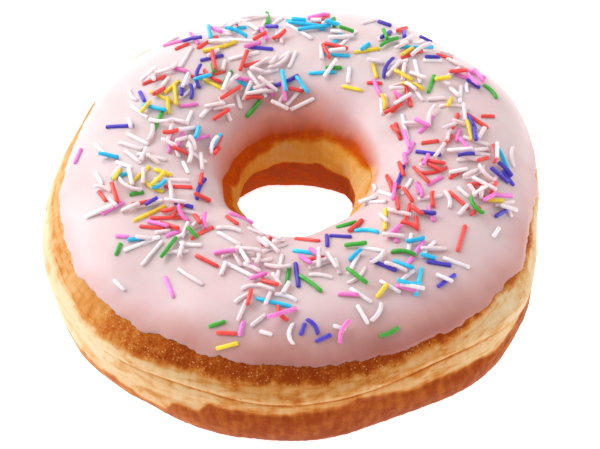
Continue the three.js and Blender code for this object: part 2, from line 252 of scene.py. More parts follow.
@dataclass(frozen=True)
class Ring:
    """The form of the ring with its icing on, and of the bed in the dough that holds the icing."""

    section: Section = Section()
    centre_radius: float = 30.4
    centre: tuple[float, float] = (0.4, -0.15)
    rest_flat: float = 0.4
    outer_lobes: tuple[Wave, ...] = (
        Wave(2, 0.47, 57), Wave(3, 0.37, 84), Wave(4, 0.75, 40),
        Wave(5, 0.3, 42), Wave(6, 0.55, 17), Wave(7, 0.3, 17),
    )
    hole_lobes: tuple[Wave, ...] = (
        Wave(1, 1.0, 90), Wave(2, 0.82, 110), Wave(3, 0.42, 13), Wave(5, 0.19, 46),
    )
    lump_depth: float = 0.16
    lump_count: int = 5
    lump_least: int = 3
    lump_step: int = 2
    lump_period: float = 34.0
    lump_seed: int = 7442
    fold: Line = Line(-24.1, 6, 0.8, 242)
    fold_depth: float = 0.5
    fold_swing: Wave = Wave(1, 0.4, 260)
    fold_fade: float = 1.6
    swell: float = 0.3
    swell_width: float = 1.6
    seam: Line = Line(-29.0, 2, 0.9, 268)
    seam_depth: float = 0.3
    seam_half_width: float = 1.5
    icing_depth: float = 1.5
    lip_stand: float = 0.3
    lip_swing: Wave = Wave(1, 0.1, 290)
    lip_reach: float = 7.0
    taper: tuple[float, float] = (-7.0, -0.3)
    edge_curve: Curve = Curve((
        (0, -21.3), (50, -19), (110, -17), (180, -15.6), (210, -16), (244, -15.8), (268, -16.3),
        (278, -17.4), (300, -17.9), (320, -17.5), (336, -19),
    ))
    scallops: tuple[Wave, ...] = (Wave(17, 0.16, 5), Wave(29, 0.14, 3), Wave(43, 0.1, 1))
    inner_curve: Curve = Curve((
        (0, 17.6), (30, 18.9), (62, 20.3), (100, 22), (128, 22.8), (150, 21.6), (178, 19.2),
        (200, 18.8), (222, 22), (318, 22), (340, 18.8),
    ))
    bed_outside: tuple[float, float] = (-0.3, 6.0)
    bed_inside: tuple[float, float] = (-6.0, 4.0)

    @cached_property
    def lump_waves(self) -> list[tuple[int, float, float]]:
        """Each lump's waves in a turn and its two drawn phases."""
        draw = Draw(self.lump_seed)
        counts = [self.lump_least + self.lump_step * index for index in range(self.lump_count)]
        return [(count, 2 * math.pi * draw.next(), 2 * math.pi * draw.next()) for count in counts]

    def lump(self, turn: Array, way: Array) -> Array:
        """How far the ring stands out of its even form."""
        total = np.zeros(np.broadcast(turn, way).shape)
        for index, (waves, phase, way_phase) in enumerate(self.lump_waves):
            along = np.cos(np.radians(turn) * waves + phase)
            cross = np.cos(2 * math.pi * way / self.lump_period * (1 + index % 2) + way_phase)
            total = total + self.lump_depth * along * cross
        return total

    def side_relief(self, turn: Array, way: Array) -> Array:
        """How far the side stands out or in round the fold and the seam."""
        over_fold = way - self.fold.at(turn)
        swell = self.swell * np.exp(-(((over_fold - self.swell_width) / self.swell_width) ** 2))
        depth = self.fold_depth + sum_of_waves((self.fold_swing,), turn)
        dip = depth * np.exp(np.minimum(over_fold, 0.0) / self.fold_fade)
        over_seam = (way - self.seam.at(turn)) / self.seam_half_width
        relief = np.where(over_fold > 0.0, swell, swell - dip)
        return relief - self.seam_depth * np.exp(-(over_seam**2))

    def outer_edge(self, turn: Array) -> Array:
        """The way of the icing's outer edge."""
        return self.edge_curve.at(turn) + sum_of_waves(self.scallops, turn)

    def inner_edge(self, turn: Array) -> Array:
        """The way of the icing's edge in the hole."""
        return self.inner_curve.at(turn)

    def dough_stand(self, turn: Array, way: Array) -> Array:
        """How far the dough stands out of the ring's form: below it where the icing is bedded."""
        outer = smoothstep(way - self.outer_edge(turn), *self.bed_outside)
        inner = 1.0 - smoothstep(way - self.inner_edge(turn), *self.bed_inside)
        return -self.icing_depth * np.minimum(outer, inner)

    def icing_stand(self, turn: Array, way: Array) -> Array:
        """How far the icing's top stands out of the ring's form, down to the dough where it ends."""
        lip = self.lip_stand + sum_of_waves((self.lip_swing,), turn)
        proud = lip * (1.0 - smoothstep(way - self.outer_edge(turn), 0.0, self.lip_reach))
        thinning = smoothstep(way - self.inner_edge(turn), *self.taper)
        return proud + thinning * self.dough_stand(turn, way)

    def point(self, turn: Array, way: Array, stand: Array | float) -> Array:
        """Points of the ring.

        Args:
            turn: Their turns in degrees.
            way: Their ways in millimetres.
            stand: How far each stands out of the ring's form, along the section's normal.

        Returns:
            Places in millimetres, one a row.
        """
        across, height, normal_out, normal_up = self.section.at_way(way)
        half = self.section.half_width
        outward = np.clip((across + half) / (2.0 * half), 0.0, 1.0)
        lobe = blend(sum_of_waves(self.hole_lobes, turn), sum_of_waves(self.outer_lobes, turn), outward)
        out = self.lump(turn, way) + self.side_relief(turn, way) + stand
        radius = self.centre_radius + across + lobe + normal_out * out
        lifted = np.maximum(0.0, height - self.rest_flat + normal_up * out)
        angle = np.radians(turn)
        east = self.centre[0] + radius * np.cos(angle)
        north = self.centre[1] + radius * np.sin(angle)
        return np.stack(np.broadcast_arrays(east, north, lifted), axis=-1)

    def normal(self, turn: Array, way: Array) -> Array:
        """The section's normal at each place, one a row."""
        _, _, out, up = self.section.at_way(way)
        angle = np.radians(turn)
        return np.stack(np.broadcast_arrays(out * np.cos(angle), out * np.sin(angle), up), axis=-1)


# ---- Meshes round the ring ----------------------------------------------------------------------


@dataclass(frozen=True)
class Stretch:
    """Some rows of a mesh round the ring, evenly spread from one line towards the next."""

    start: Callable[[Array], Array | float]
    rows: int


@dataclass(frozen=True)
class Lathe:
    """A closed mesh round the ring, with its vertices placed by their turn and row."""

    columns: int
    stretches: tuple[Stretch, ...]
    wide_columns: int = 40
    plain_radius: float = 2.0

    @property
    def rows(self) -> int:
        """All its rows."""
        return sum(stretch.rows for stretch in self.stretches)

    def turned(self) -> bmesh.types.BMesh:
        """A plain ring with its rows and columns evenly spread: wide columns are turned, then cut finer."""
        mesh = bmesh.new()
        stand = Matrix.Translation((self.plain_radius, 0.0, 0.0)) @ Matrix.Rotation(math.pi / 2, 4, "X")
        bmesh.ops.create_circle(mesh, segments=self.rows, radius=1.0, matrix=stand)
        bmesh.ops.spin(
            mesh, geom=mesh.verts[:] + mesh.edges[:], cent=(0, 0, 0), axis=(0, 0, 1),
            angle=2 * math.pi, steps=self.wide_columns, use_merge=True,
        )
        round_edges = [edge for edge in mesh.edges if self.goes_round(edge)]
        bmesh.ops.subdivide_edges(mesh, edges=round_edges, cuts=self.columns // self.wide_columns - 1)
        return mesh

    def goes_round(self, edge: bmesh.types.BMEdge) -> bool:
        """Whether an edge leads from one column to the next."""
        start, end = (vertex.co for vertex in edge.verts)
        return abs(start.x * end.y - start.y * end.x) > 1e-3

    def values(self, turn: Array, row: Array) -> Array:
        """What each row stands for at a turn, between the starts of its stretch and of the next."""
        starts = [np.broadcast_to(stretch.start(turn), turn.shape) for stretch in self.stretches]
        marks = np.stack(starts + [starts[-1] + 0.0])
        first = np.cumsum([0] + [stretch.rows for stretch in self.stretches])
        index = np.searchsorted(first, row, side="right") - 1
        share = (row - first[index]) / np.diff(first)[np.minimum(index, len(self.stretches) - 1)]
        column = np.arange(len(turn))
        return blend(marks[index, column], marks[index + 1, column], share)

    def build(self, name: str, place: Placing) -> bpy.types.Object:
        """Makes the mesh.

        Args:
            name: The name of the piece.
            place: Gives the places in millimetres, and named values, from the turns and rows.

        Returns:
            The piece, with its named values as attributes of its vertices.
        """
        turned = self.turned()
        mesh = bpy.data.meshes.new(name)
        turned.to_mesh(mesh)
        turned.free()
        flat = np.empty(3 * len(mesh.vertices))
        mesh.vertices.foreach_get("co", flat)
        east, north, up = flat.reshape(-1, 3).T
        turn = np.degrees(np.arctan2(north, east))
        column = np.rint(turn / 360.0 * self.columns) % self.columns
        angle = np.degrees(np.arctan2(up, np.hypot(east, north) - self.plain_radius))
        row = np.rint((90.0 - angle) / 360.0 * self.rows) % self.rows
        places, values = place(360.0 * column / self.columns, row.astype(int))
        mesh.vertices.foreach_set("co", (places * MM).ravel())
        for label, value in values.items():
            attribute = mesh.attributes.new(label, "FLOAT", "POINT")
            attribute.data.foreach_set("value", value.astype(np.float32))
        mesh.polygons.foreach_set("use_smooth", np.ones(len(mesh.polygons), bool))
        mesh.update()
        return face_outwards(shown(name, mesh))


def shown(name: str, mesh: bpy.types.Mesh) -> bpy.types.Object:
    """A mesh as an object of the scene."""
    piece = bpy.data.objects.new(name, mesh)
    bpy.context.scene.collection.objects.link(piece)
    return piece


def face_outwards(piece: bpy.types.Object) -> bpy.types.Object:
    """Turns a closed piece's faces to point out of it."""
    mesh = bmesh.new()
    mesh.from_mesh(piece.data)
    bmesh.ops.recalc_face_normals(mesh, faces=mesh.faces[:])
    mesh.to_mesh(piece.data)
    mesh.free()
    return piece


def dress(piece: bpy.types.Object, material: bpy.types.Material, node: str) -> None:
    """Gives a finished piece its material and its place in the model.

    Args:
        piece: The piece.
        material: The finish.
        node: The solid that it stands for.
    """
    piece.data.materials.append(material)
    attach(piece, BODY)
    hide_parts(node)
    log.info("%s: %d faces", piece.name, len(piece.data.polygons))


# ---- Finishes -----------------------------------------------------------------------------------


class Recipe:
    """A material being mixed: its nodes, with short ways to add and join them."""

    def __init__(self, name: str) -> None:
        """Starts with a shader and its output."""
        self.material = bpy.data.materials.new(name)
        self.material.use_nodes = True
        self.tree = self.material.node_tree
        self.tree.nodes.clear()
        self.shader = self.add("ShaderNodeBsdfPrincipled")
        output = self.add("ShaderNodeOutputMaterial")
        self.tree.links.new(self.shader.outputs["BSDF"], output.inputs["Surface"])
        self.place = self.add("ShaderNodeTexCoord").outputs["Object"]

    def add(self, kind: str, **settings: object) -> bpy.types.Node:
        """Adds a node with some of its settings."""
        node = self.tree.nodes.new(kind)
        for name, value in settings.items():
            setattr(node, name, value)
        return node

    def feed(self, socket: bpy.types.NodeSocket, value: object) -> None:
        """Joins an output to a socket, or sets the socket to a plain value."""
        if isinstance(value, bpy.types.NodeSocket):
            self.tree.links.new(value, socket)
        else:
            socket.default_value = value

    def set(self, **values: object) -> None:
        """Sets or joins the shader's own sockets, named with _ for a space."""
        for name, value in values.items():
            self.feed(self.shader.inputs[name.replace("_", " ")], value)

    def attribute(self, name: str) -> bpy.types.NodeSocket:
        """A named value of the piece's vertices."""
        return self.add("ShaderNodeAttribute", attribute_name=name).outputs["Fac"]

    def sum(self, kind: str, *values: object) -> bpy.types.NodeSocket:
        """A Math node's answer for its values."""
        node = self.add("ShaderNodeMath", operation=kind)
        for socket, value in zip(node.inputs, values):
            self.feed(socket, value)
        return node.outputs[0]

    def noise(self, size: float, detail: float = 2.0, place: object = None) -> bpy.types.NodeSocket:
        """Noise from 0 to 1 with bumps of a size in millimetres, through the piece or over another place."""
        node = self.add("ShaderNodeTexNoise")
        self.feed(node.inputs["Vector"], place or self.place)
        node.inputs["Scale"].default_value = 1.0 / (size * MM)
        node.inputs["Detail"].default_value = detail
        return node.outputs["Fac"]

    def vector(self, kind: str, *values: object) -> bpy.types.NodeSocket:
        """A Vector Math node's answer for its vectors."""
        node = self.add("ShaderNodeVectorMath", operation=kind)
        for socket, value in zip(node.inputs, values):
            self.feed(socket, value)
        return node.outputs["Value" if kind == "LENGTH" else "Vector"]

    def upright(self, radius: float, share: float) -> bpy.types.NodeSocket:
        """The place brought to a radius round the ring's axis, with its height shrunk to a share."""
        level = self.vector("NORMALIZE", self.vector("MULTIPLY", self.place, (1.0, 1.0, 0.0)))
        ringed = self.vector("MULTIPLY", level, (radius * MM, radius * MM, 0.0))
        return self.vector("ADD", ringed, self.vector("MULTIPLY", self.place, (0.0, 0.0, share)))

    def cells(self, size: float) -> bpy.types.NodeSocket:
        """The distance from the middle of scattered cells of a size in millimetres."""
        node = self.add("ShaderNodeTexVoronoi")
        self.feed(node.inputs["Vector"], self.place)
        node.inputs["Scale"].default_value = 1.0 / (size * MM)
        return node.outputs["Distance"]

    def between(
        self, value: object, low: float, high: float, to_low: float = 0.0, to_high: float = 1.0,
    ) -> bpy.types.NodeSocket:
        """A value's range mapped smoothly onto another."""
        node = self.add("ShaderNodeMapRange", interpolation_type="SMOOTHSTEP")
        for socket, number in zip(node.inputs, (value, low, high, to_low, to_high)):
            self.feed(socket, number)
        return node.outputs["Result"]

    def swing(self, noise: object, depth: float) -> bpy.types.NodeSocket:
        """Noise brought to a swing of a depth round 0."""
        return self.between(noise, 0.3, 0.7, -depth / 2, depth / 2)

    def ramp(self, value: object, stops: Sequence[tuple[float, str]]) -> bpy.types.NodeSocket:
        """A colour that runs through stops as its value goes from 0 to 1."""
        node = self.add("ShaderNodeValToRGB")
        elements = node.color_ramp.elements
        while len(elements) < len(stops):
            elements.new(0.5)
        for element, (at, code) in zip(elements, stops):
            element.position = at
            element.color = paint(code)
        self.feed(node.inputs["Fac"], value)
        return node.outputs["Color"]

    def mix(self, share: object, low: object, high: object) -> bpy.types.NodeSocket:
        """A colour between two others."""
        node = self.add("ShaderNodeMix", data_type="RGBA")
        sockets = {socket.identifier: socket for socket in [*node.inputs, *node.outputs]}
        self.feed(sockets["Factor_Float"], share)
        self.feed(sockets["A_Color"], low)
        self.feed(sockets["B_Color"], high)
        return sockets["Result_Color"]

    def bump(self, height: object, depth: float, under: object = None) -> bpy.types.NodeSocket:
        """The normal of a relief of a depth in millimetres, on top of another one."""
        node = self.add("ShaderNodeBump")
        node.inputs["Distance"].default_value = depth * MM
        self.feed(node.inputs["Height"], height)
        if under is not None:
            self.feed(node.inputs["Normal"], under)
        return node.outputs["Normal"]


@dataclass(frozen=True)
class CrustFinish:
    """Fried dough: a cream band that browns through gold to a dark, grainy crust, with painted shade in its
    pits and small painted glints of light.
    """

    stops: tuple[tuple[float, str], ...] = (
        (0.0, "#d8c19d"), (0.2, "#d2aa78"), (0.4, "#c48440"), (0.6, "#b15d1e"), (0.8, "#933f0d"),
        (1.0, "#8a3004"),
    )
    # a brighter, more orange copy of the crust's colours for the hole's wall: partly its own crust, partly
    # painted warm bounce light
    hole_bounce_stops: tuple[tuple[float, str], ...] = (
        (0.0, "#d8c199"), (0.36, "#cd8c38"), (0.6, "#bf6a1c"), (0.88, "#b8460a"), (1.0, "#a04722"),
    )
    # painted highlight: the pale colour and pattern of small glints of light on the crust
    glint_colour: str = "#e2ad72"
    glint_size: float = 0.55
    glint_rim: tuple[float, float] = (0.16, 0.3)
    glint_strength: float = 0.6
    glint_patch: float = 1.5
    glint_patch_rim: tuple[float, float] = (0.44, 0.54)
    grit: float = 0.18
    grit_size: float = 0.5
    streaks: float = 0.16
    streak_size: float = 1.1
    streak_radius: float = 40.0
    streak_height: float = 0.22
    streaks_in_hole: float = 0.5
    mottle: float = 0.12
    mottle_size: float = 1.8
    # painted shade: how much darker each pore pit is made, where no pit is modelled
    pore_shade: float = 0.3
    pore_size: float = 1.5
    pore_rim: tuple[float, float] = (0.08, 0.16)
    pore_patch: float = 4.0
    pore_patch_rim: tuple[float, float] = (0.4, 0.6)
    pore_rarity: float = 3.0
    porous: tuple[float, float] = (0.25, 0.5)
    pale_share: float = 0.5
    paleness: tuple[float, float] = (0.25, 0.65)
    fine_relief: tuple[float, float] = (0.5, 0.12)
    broad_relief: tuple[float, float] = (1.6, 0.12)
    roughness: float = 0.5
    gloss: float = 0.04
    translucency: float = 0.15
    glow_depth: tuple[float, float, float] = (1.0, 0.45, 0.2)

    def unevenness(self, recipe: Recipe, browning_and_shade: bpy.types.NodeSocket) -> bpy.types.NodeSocket:
        """How far grit, upright streaks and mottling lighten or darken each place, with painted shade in
        pore pits.
        """
        grit = recipe.swing(recipe.noise(self.grit_size), self.grit)
        grit = recipe.sum("MULTIPLY", grit, recipe.attribute("grains"))
        upright = recipe.upright(self.streak_radius, self.streak_height)
        streaks = recipe.swing(recipe.noise(self.streak_size, 2.0, upright), self.streaks)
        outer = recipe.between(recipe.attribute("holed"), 0.0, 1.0, 1.0, self.streaks_in_hole)
        streaks = recipe.sum("MULTIPLY", streaks, outer)
        mottle = recipe.swing(recipe.noise(self.mottle_size, 3.0), self.mottle)
        uneven = recipe.sum("ADD", grit, recipe.sum("ADD", streaks, mottle))
        rarity = recipe.between(recipe.noise(self.pore_patch), *self.pore_patch_rim, self.pore_rarity, 1.0)
        middle = recipe.sum("MULTIPLY", recipe.cells(self.pore_size), rarity)
        # painted shade in the pore pits of the paler dough
        pore_shade = recipe.between(middle, *self.pore_rim, self.pore_shade, 0.0)
        porous = recipe.between(browning_and_shade, *self.porous, 1.0, 0.0)
        return recipe.sum("ADD", uneven, recipe.sum("MULTIPLY", pore_shade, porous))

    def painted_glints(self, recipe: Recipe) -> bpy.types.NodeSocket:
        """The share of a painted glint, a small pale highlight painted into the colour, at each place."""
        glints = recipe.between(recipe.cells(self.glint_size), *self.glint_rim, self.glint_strength, 0.0)
        some = recipe.between(recipe.noise(self.glint_patch, 1.0), *self.glint_patch_rim)
        return recipe.sum("MULTIPLY", recipe.sum("MULTIPLY", glints, some), recipe.attribute("grains"))

    def colour(self, recipe: Recipe) -> bpy.types.NodeSocket:
        """The crust's colour from how far each vertex browned, with its painted light and shade, from finer
        unevenness and from painted glints.
        """
        browning_and_shade = recipe.attribute("browning_and_shade")
        strength = recipe.between(browning_and_shade, *self.paleness, self.pale_share, 1.0)
        uneven = recipe.sum("MULTIPLY", self.unevenness(recipe, browning_and_shade), strength)
        baked = recipe.sum("ADD", browning_and_shade, uneven)
        # in the hole the brighter copy paints in warm bounce light
        outside, inside = recipe.ramp(baked, self.stops), recipe.ramp(baked, self.hole_bounce_stops)
        crust = recipe.mix(recipe.attribute("holed"), outside, inside)
        # small painted highlights (glints) mixed into the crust's colour
        return recipe.mix(self.painted_glints(recipe), crust, paint(self.glint_colour))

    def material(self) -> bpy.types.Material:
        """The finished crust."""
        recipe = Recipe("fried_crust")
        fine_size, fine_depth = self.fine_relief
        broad_size, broad_depth = self.broad_relief
        fine = recipe.bump(recipe.noise(fine_size, 3.0), fine_depth)
        gloss = recipe.between(recipe.attribute("holed"), 0.0, 1.0, self.gloss, 0.0)
        recipe.set(
            Base_Color=self.colour(recipe), Roughness=self.roughness, Specular_IOR_Level=gloss,
            Subsurface_Weight=self.translucency, Subsurface_Radius=self.glow_depth, Subsurface_Scale=MM,
            Normal=recipe.bump(recipe.noise(broad_size), broad_depth, fine),
        )
        return recipe.material


@dataclass(frozen=True)
class IcingFinish:
    """Poured icing: milky pink where it lies thick, dusky where it lies thinner and with painted shade at
    the front, warm with painted bounce light on the far wall, and gone over bare crust.
    """

    stops: tuple[tuple[float, str], ...] = (
        (0.0, "#ae6b62"), (0.35, "#cb9a94"), (0.7, "#d6b4b5"), (1.0, "#dccacb"),
    )
    cloud: float = 0.12
    cloud_size: float = 9.0
    # painted warm bounce light with thinner icing: a salmon tint where the icing fades over the crust
    bounce_blush: str = "#ecbfb6"
    bounce_blush_cover: tuple[float, float] = (0.2, 0.9)
    relief: tuple[float, float] = (4.0, 0.1)
    roughness: float = 0.38
    gloss: float = 0.24
    translucency: float = 0.7
    glow_depth: tuple[float, float, float] = (2.2, 1.1, 0.9)

    def material(self, crust: CrustFinish) -> bpy.types.Material:
        """The finished icing, over the crust's own colour where it thins out."""
        recipe = Recipe("pink_icing")
        cloud = recipe.swing(recipe.noise(self.cloud_size), self.cloud)
        milk_and_shade = recipe.ramp(recipe.sum("ADD", recipe.attribute("milk_and_shade"), cloud), self.stops)
        cover = recipe.attribute("cover")
        size, depth = self.relief
        # painted warm bounce light: the salmon tint is mixed in where the icing thins over the crust
        milk_and_shade = recipe.mix(recipe.between(cover, *self.bounce_blush_cover), paint(self.bounce_blush), milk_and_shade)
        recipe.set(
            Base_Color=recipe.mix(cover, crust.colour(recipe), milk_and_shade),
            Roughness=recipe.between(cover, 0.0, 1.0, crust.roughness, self.roughness),
            Specular_IOR_Level=recipe.between(cover, 0.0, 1.0, 0.0, self.gloss),
            Subsurface_Weight=recipe.between(cover, 0.0, 1.0, crust.translucency, self.translucency),
            Subsurface_Radius=self.glow_depth, Subsurface_Scale=MM,
            Normal=recipe.bump(recipe.noise(size, 1.0), depth),
        )
        return recipe.material


class SugarColour(Enum):
    """The strands' colours: each one's material slot, paint and share of the strands."""

    WHITE = ("sugar_white", "#fbe4e7", 46)
    RED = ("sugar_red", "#f04c46", 15)
    PINK = ("sugar_pink", "#ff84d2", 13)
    YELLOW = ("sugar_yellow", "#efd038", 5)
    GREEN = ("sugar_green", "#3caa32", 6)
    CYAN = ("sugar_cyan", "#22c6f6", 6)
    INDIGO = ("sugar_indigo", "#4d3cbc", 3)

    def __init__(self, slot: str, code: str, share: int) -> None:
        """Names the parts of its value."""
        self.slot = slot
        self.code = code
        self.share = share


@dataclass(frozen=True)
class SugarFinish:
    """Pressed sugar: satin, a little see-through, each strand a little lighter or darker."""

    roughness: float = 0.38
    swing: float = 0.16
    powder: float = 0.4
    powder_size: float = 0.8
    relief: tuple[float, float] = (0.35, 0.03)
    translucency: float = 0.5
    glow_depth: tuple[float, float, float] = (0.9, 0.7, 0.7)

    def tint(self, colour: SugarColour, strength: float) -> Rgba:
        """A strand's paint, made lighter or darker."""
        red, green, blue, alpha = paint(colour.code)
        return (min(1.0, red * strength), min(1.0, green * strength), min(1.0, blue * strength), alpha)

    def material(self, colour: SugarColour) -> bpy.types.Material:
        """The finish of one colour's strands."""
        recipe = Recipe(colour.slot)
        size, depth = self.relief
        dark, light = self.tint(colour, 1 - self.swing), self.tint(colour, 1 + self.swing)
        powder = recipe.swing(recipe.noise(self.powder_size), self.powder)
        recipe.set(
            Base_Color=recipe.mix(recipe.sum("ADD", recipe.attribute("shade"), powder), dark, light),
            Roughness=self.roughness, Subsurface_Weight=self.translucency,
            Subsurface_Radius=self.glow_depth, Subsurface_Scale=MM,
            Normal=recipe.bump(recipe.noise(size), depth),
        )
        return recipe.material


# ---- The dough ----------------------------------------------------------------------------------


@dataclass(frozen=True)
class Browning:
    """How far each place browned, with painted light and shade: a pale band between dark crusts, outside and
    in the hole.

    The bounds of the band and of the gold are curves of heights in millimetres above the table, and the rest
    are curves of how dark each part is. Outside they are partly browned tone and partly painted light and
    shade: paler on the lit left and darker towards the front, in shade.
    """

    band_top: Curve = Curve((
        (0, 22.9), (30, 24.5), (120, 25.5), (190, 24.2), (205, 23.4), (215, 22.3), (229, 22.8),
        (236, 23.5), (246, 23.9), (262, 24.3), (276, 23.6), (292, 24.1), (300, 24.5), (320, 25.4),
        (334, 24.1), (345, 23.3),
    ))
    band_bottom: Curve = Curve((
        (20, 18), (90, 15.5), (150, 13), (200, 11), (215, 12), (224, 13), (229, 12.5), (232, 10.8),
        (237, 10.8), (241, 14.2), (246, 13.6), (249, 16.4), (262, 15.9), (271, 15.9), (277, 15.8),
        (282, 17.6), (289, 17), (294, 15.6), (308, 15.8), (316, 14.8), (321, 16.8), (328, 18.6),
        (345, 18.2),
    ))
    gold_top: Curve = Curve((
        (0, 27.2), (26, 25.7), (42, 24.7), (58, 24.5), (82, 23.2), (98, 22.3), (113, 20.6), (132, 19.5),
        (150, 20), (178, 23.9), (200, 24.5), (270, 23), (340, 27),
    ))
    gold_bottom: Curve = Curve((
        (7, 21.5), (38, 19.2), (60, 18.3), (80, 17.5), (94, 16.8), (120, 15.8), (146, 13.6), (180, 13),
        (270, 17), (340, 21.5),
    ))
    # painted light and shade with the browned tone: cream, top_crust and low_crust are paler round the lit
    # left and darker towards the shaded front
    cream: Curve = Curve((
        (0, 0.2), (90, 0.1), (180, -0.05), (212, -0.03), (240, 0.18), (265, 0.32), (300, 0.3),
        (312, 0.14), (325, 0.05), (345, 0),
    ))
    top_crust: Curve = Curve((
        (0, 0.6), (90, 0.5), (150, 0.4), (180, 0.28), (205, 0.32), (215, 0.4), (225, 0.56), (232, 0.66),
        (240, 0.78), (260, 0.82), (300, 0.84), (330, 0.78),
    ))
    low_crust: Curve = Curve((
        (0, 0.78), (150, 0.6), (205, 0.5), (225, 0.55), (240, 0.68), (255, 0.78), (305, 0.78),
        (325, 0.7), (345, 0.7),
    ))
    gold: Curve = Curve((
        (0, 0.26), (28, 0.3), (45, 0.39), (60, 0.36), (80, 0.35), (97, 0.31), (125, 0.42), (160, 0.36),
    ))
    hole_crust: tuple[float, float] = (0.88, 0.98)
    ragged: float = 0.8
    broad_size: float = 5.0
    fine_size: float = 1.6
    cloud: float = 0.05
    top_softness: float = 1.0
    bottom_softness: float = 0.8
    patch_size: float = 6.0
    patch_flatness: float = 2.2
    patch_rim: tuple[float, float] = (0.0, 0.6)
    patches: float = 0.2
    # painted shade in the fold and a painted highlight on its edge, strongest at the front
    crease_shade: Curve = Curve((
        (0, 0), (215, 0), (232, 0.3), (250, 0.5), (300, 0.5), (330, 0.3), (345, 0),
    ))
    crease_light: float = 0.2
    crease_width: float = 0.45
    crease_dip: float = 0.9
    crease_edge: float = 1.0
    pale: tuple[float, float] = (0.3, 0.55)
    wrinkle: float = 0.17
    wrinkle_width: float = 0.06
    wrinkle_size: float = 3.6
    wrinkle_stretch: tuple[float, float] = (0.3, 2.0)
    hole_top_softness: float = 0.8
    hole_low_softness: float = 0.15
    hole_low_ragged: float = 0.3
    hole_start: tuple[float, float] = (-6.0, 6.0)

    def holed(self, way: Array) -> Array:
        """How far each place browned as the hole's wall does, not as the outside."""
        return smoothstep(way, *self.hole_start)

    def wrinkles(self, ring: Ring, turn: Array, way: Array) -> Array:
        """Thin lines where the pale band wrinkled as it rose: 1 on a line and 0 off it."""
        along, across = self.wrinkle_stretch
        angle, radius = np.radians(turn), ring.centre_radius + ring.section.half_width
        drawn_out = np.stack([
            np.cos(angle) * radius * along, np.sin(angle) * radius * along, way * across,
        ], axis=-1)
        return np.exp(-((grain(drawn_out, self.wrinkle_size, 2, 15.0) / self.wrinkle_width) ** 2))

    def creases(self, ring: Ring, turn: Array, way: Array) -> Array:
        """The shade in the fold, and the light on the edge above it."""
        over_fold = (way - ring.fold.at(turn)) / self.crease_width
        dip = np.exp(-((over_fold + self.crease_dip) ** 2))
        edge = np.exp(-((over_fold - self.crease_edge) ** 2))
        return self.crease_shade.at(turn) * (dip - self.crease_light * edge)

    def outside(self, ring: Ring, turn: Array, way: Array, points: Array, wander: Array) -> Array:
        """How far the outside browned, with painted light and shade: the pale band between the top's crust
        and the lower one.
        """
        height = points[:, 2]
        top = smoothstep(height + wander - self.band_top.at(turn), -self.top_softness, self.top_softness)
        below = self.band_bottom.at(turn) - height + wander
        bottom = smoothstep(below, -self.bottom_softness, self.bottom_softness)
        patches = grain(points * (1.0, 1.0, self.patch_flatness), self.patch_size, 3, 60.0)
        cream = self.cream.at(turn) + self.patches * smoothstep(patches, *self.patch_rim)
        # painted light and shade by turn, on top of the browned tone
        top_crust, low_crust = self.top_crust.at(turn), self.low_crust.at(turn)
        browned = np.maximum(blend(cream, top_crust, top), blend(cream, low_crust, bottom))
        # painted shade under the fold and painted highlight on the edge above it
        browned = browned + self.creases(ring, turn, way)
        pale = 1.0 - smoothstep(browned, *self.pale)
        return browned + self.wrinkle * pale * self.wrinkles(ring, turn, way)

    def inside(self, turn: Array, height: Array, wander: Array) -> Array:
        """How far the hole's wall browned: a gold belt between dark crusts."""
        above = height + wander - self.gold_top.at(turn)
        below = self.gold_bottom.at(turn) - height + self.hole_low_ragged * wander
        top = smoothstep(above, -self.hole_top_softness, self.hole_top_softness)
        low = smoothstep(below, -self.hole_low_softness, self.hole_low_softness)
        upper_crust, lower_crust = self.hole_crust
        return blend(blend(self.gold.at(turn), upper_crust, top), lower_crust, low)

    def at(self, ring: Ring, turn: Array, way: Array, points: Array) -> Array:
        """How far each place browned, with its painted light and shade.

        Args:
            ring: The ring.
            turn: Their turns.
            way: Their ways.
            points: The places themselves.

        Returns:
            0 for cream dough up to 1 for the darkest crust.
        """
        broad = grain(points, self.broad_size, 3)
        wander = self.ragged * (0.5 * broad + 0.5 * grain(points, self.fine_size, 2, 40.0))
        outside = self.outside(ring, turn, way, points, wander)
        inside = self.inside(turn, points[:, 2], wander)
        return blend(outside, inside, self.holed(way)) + self.cloud * broad


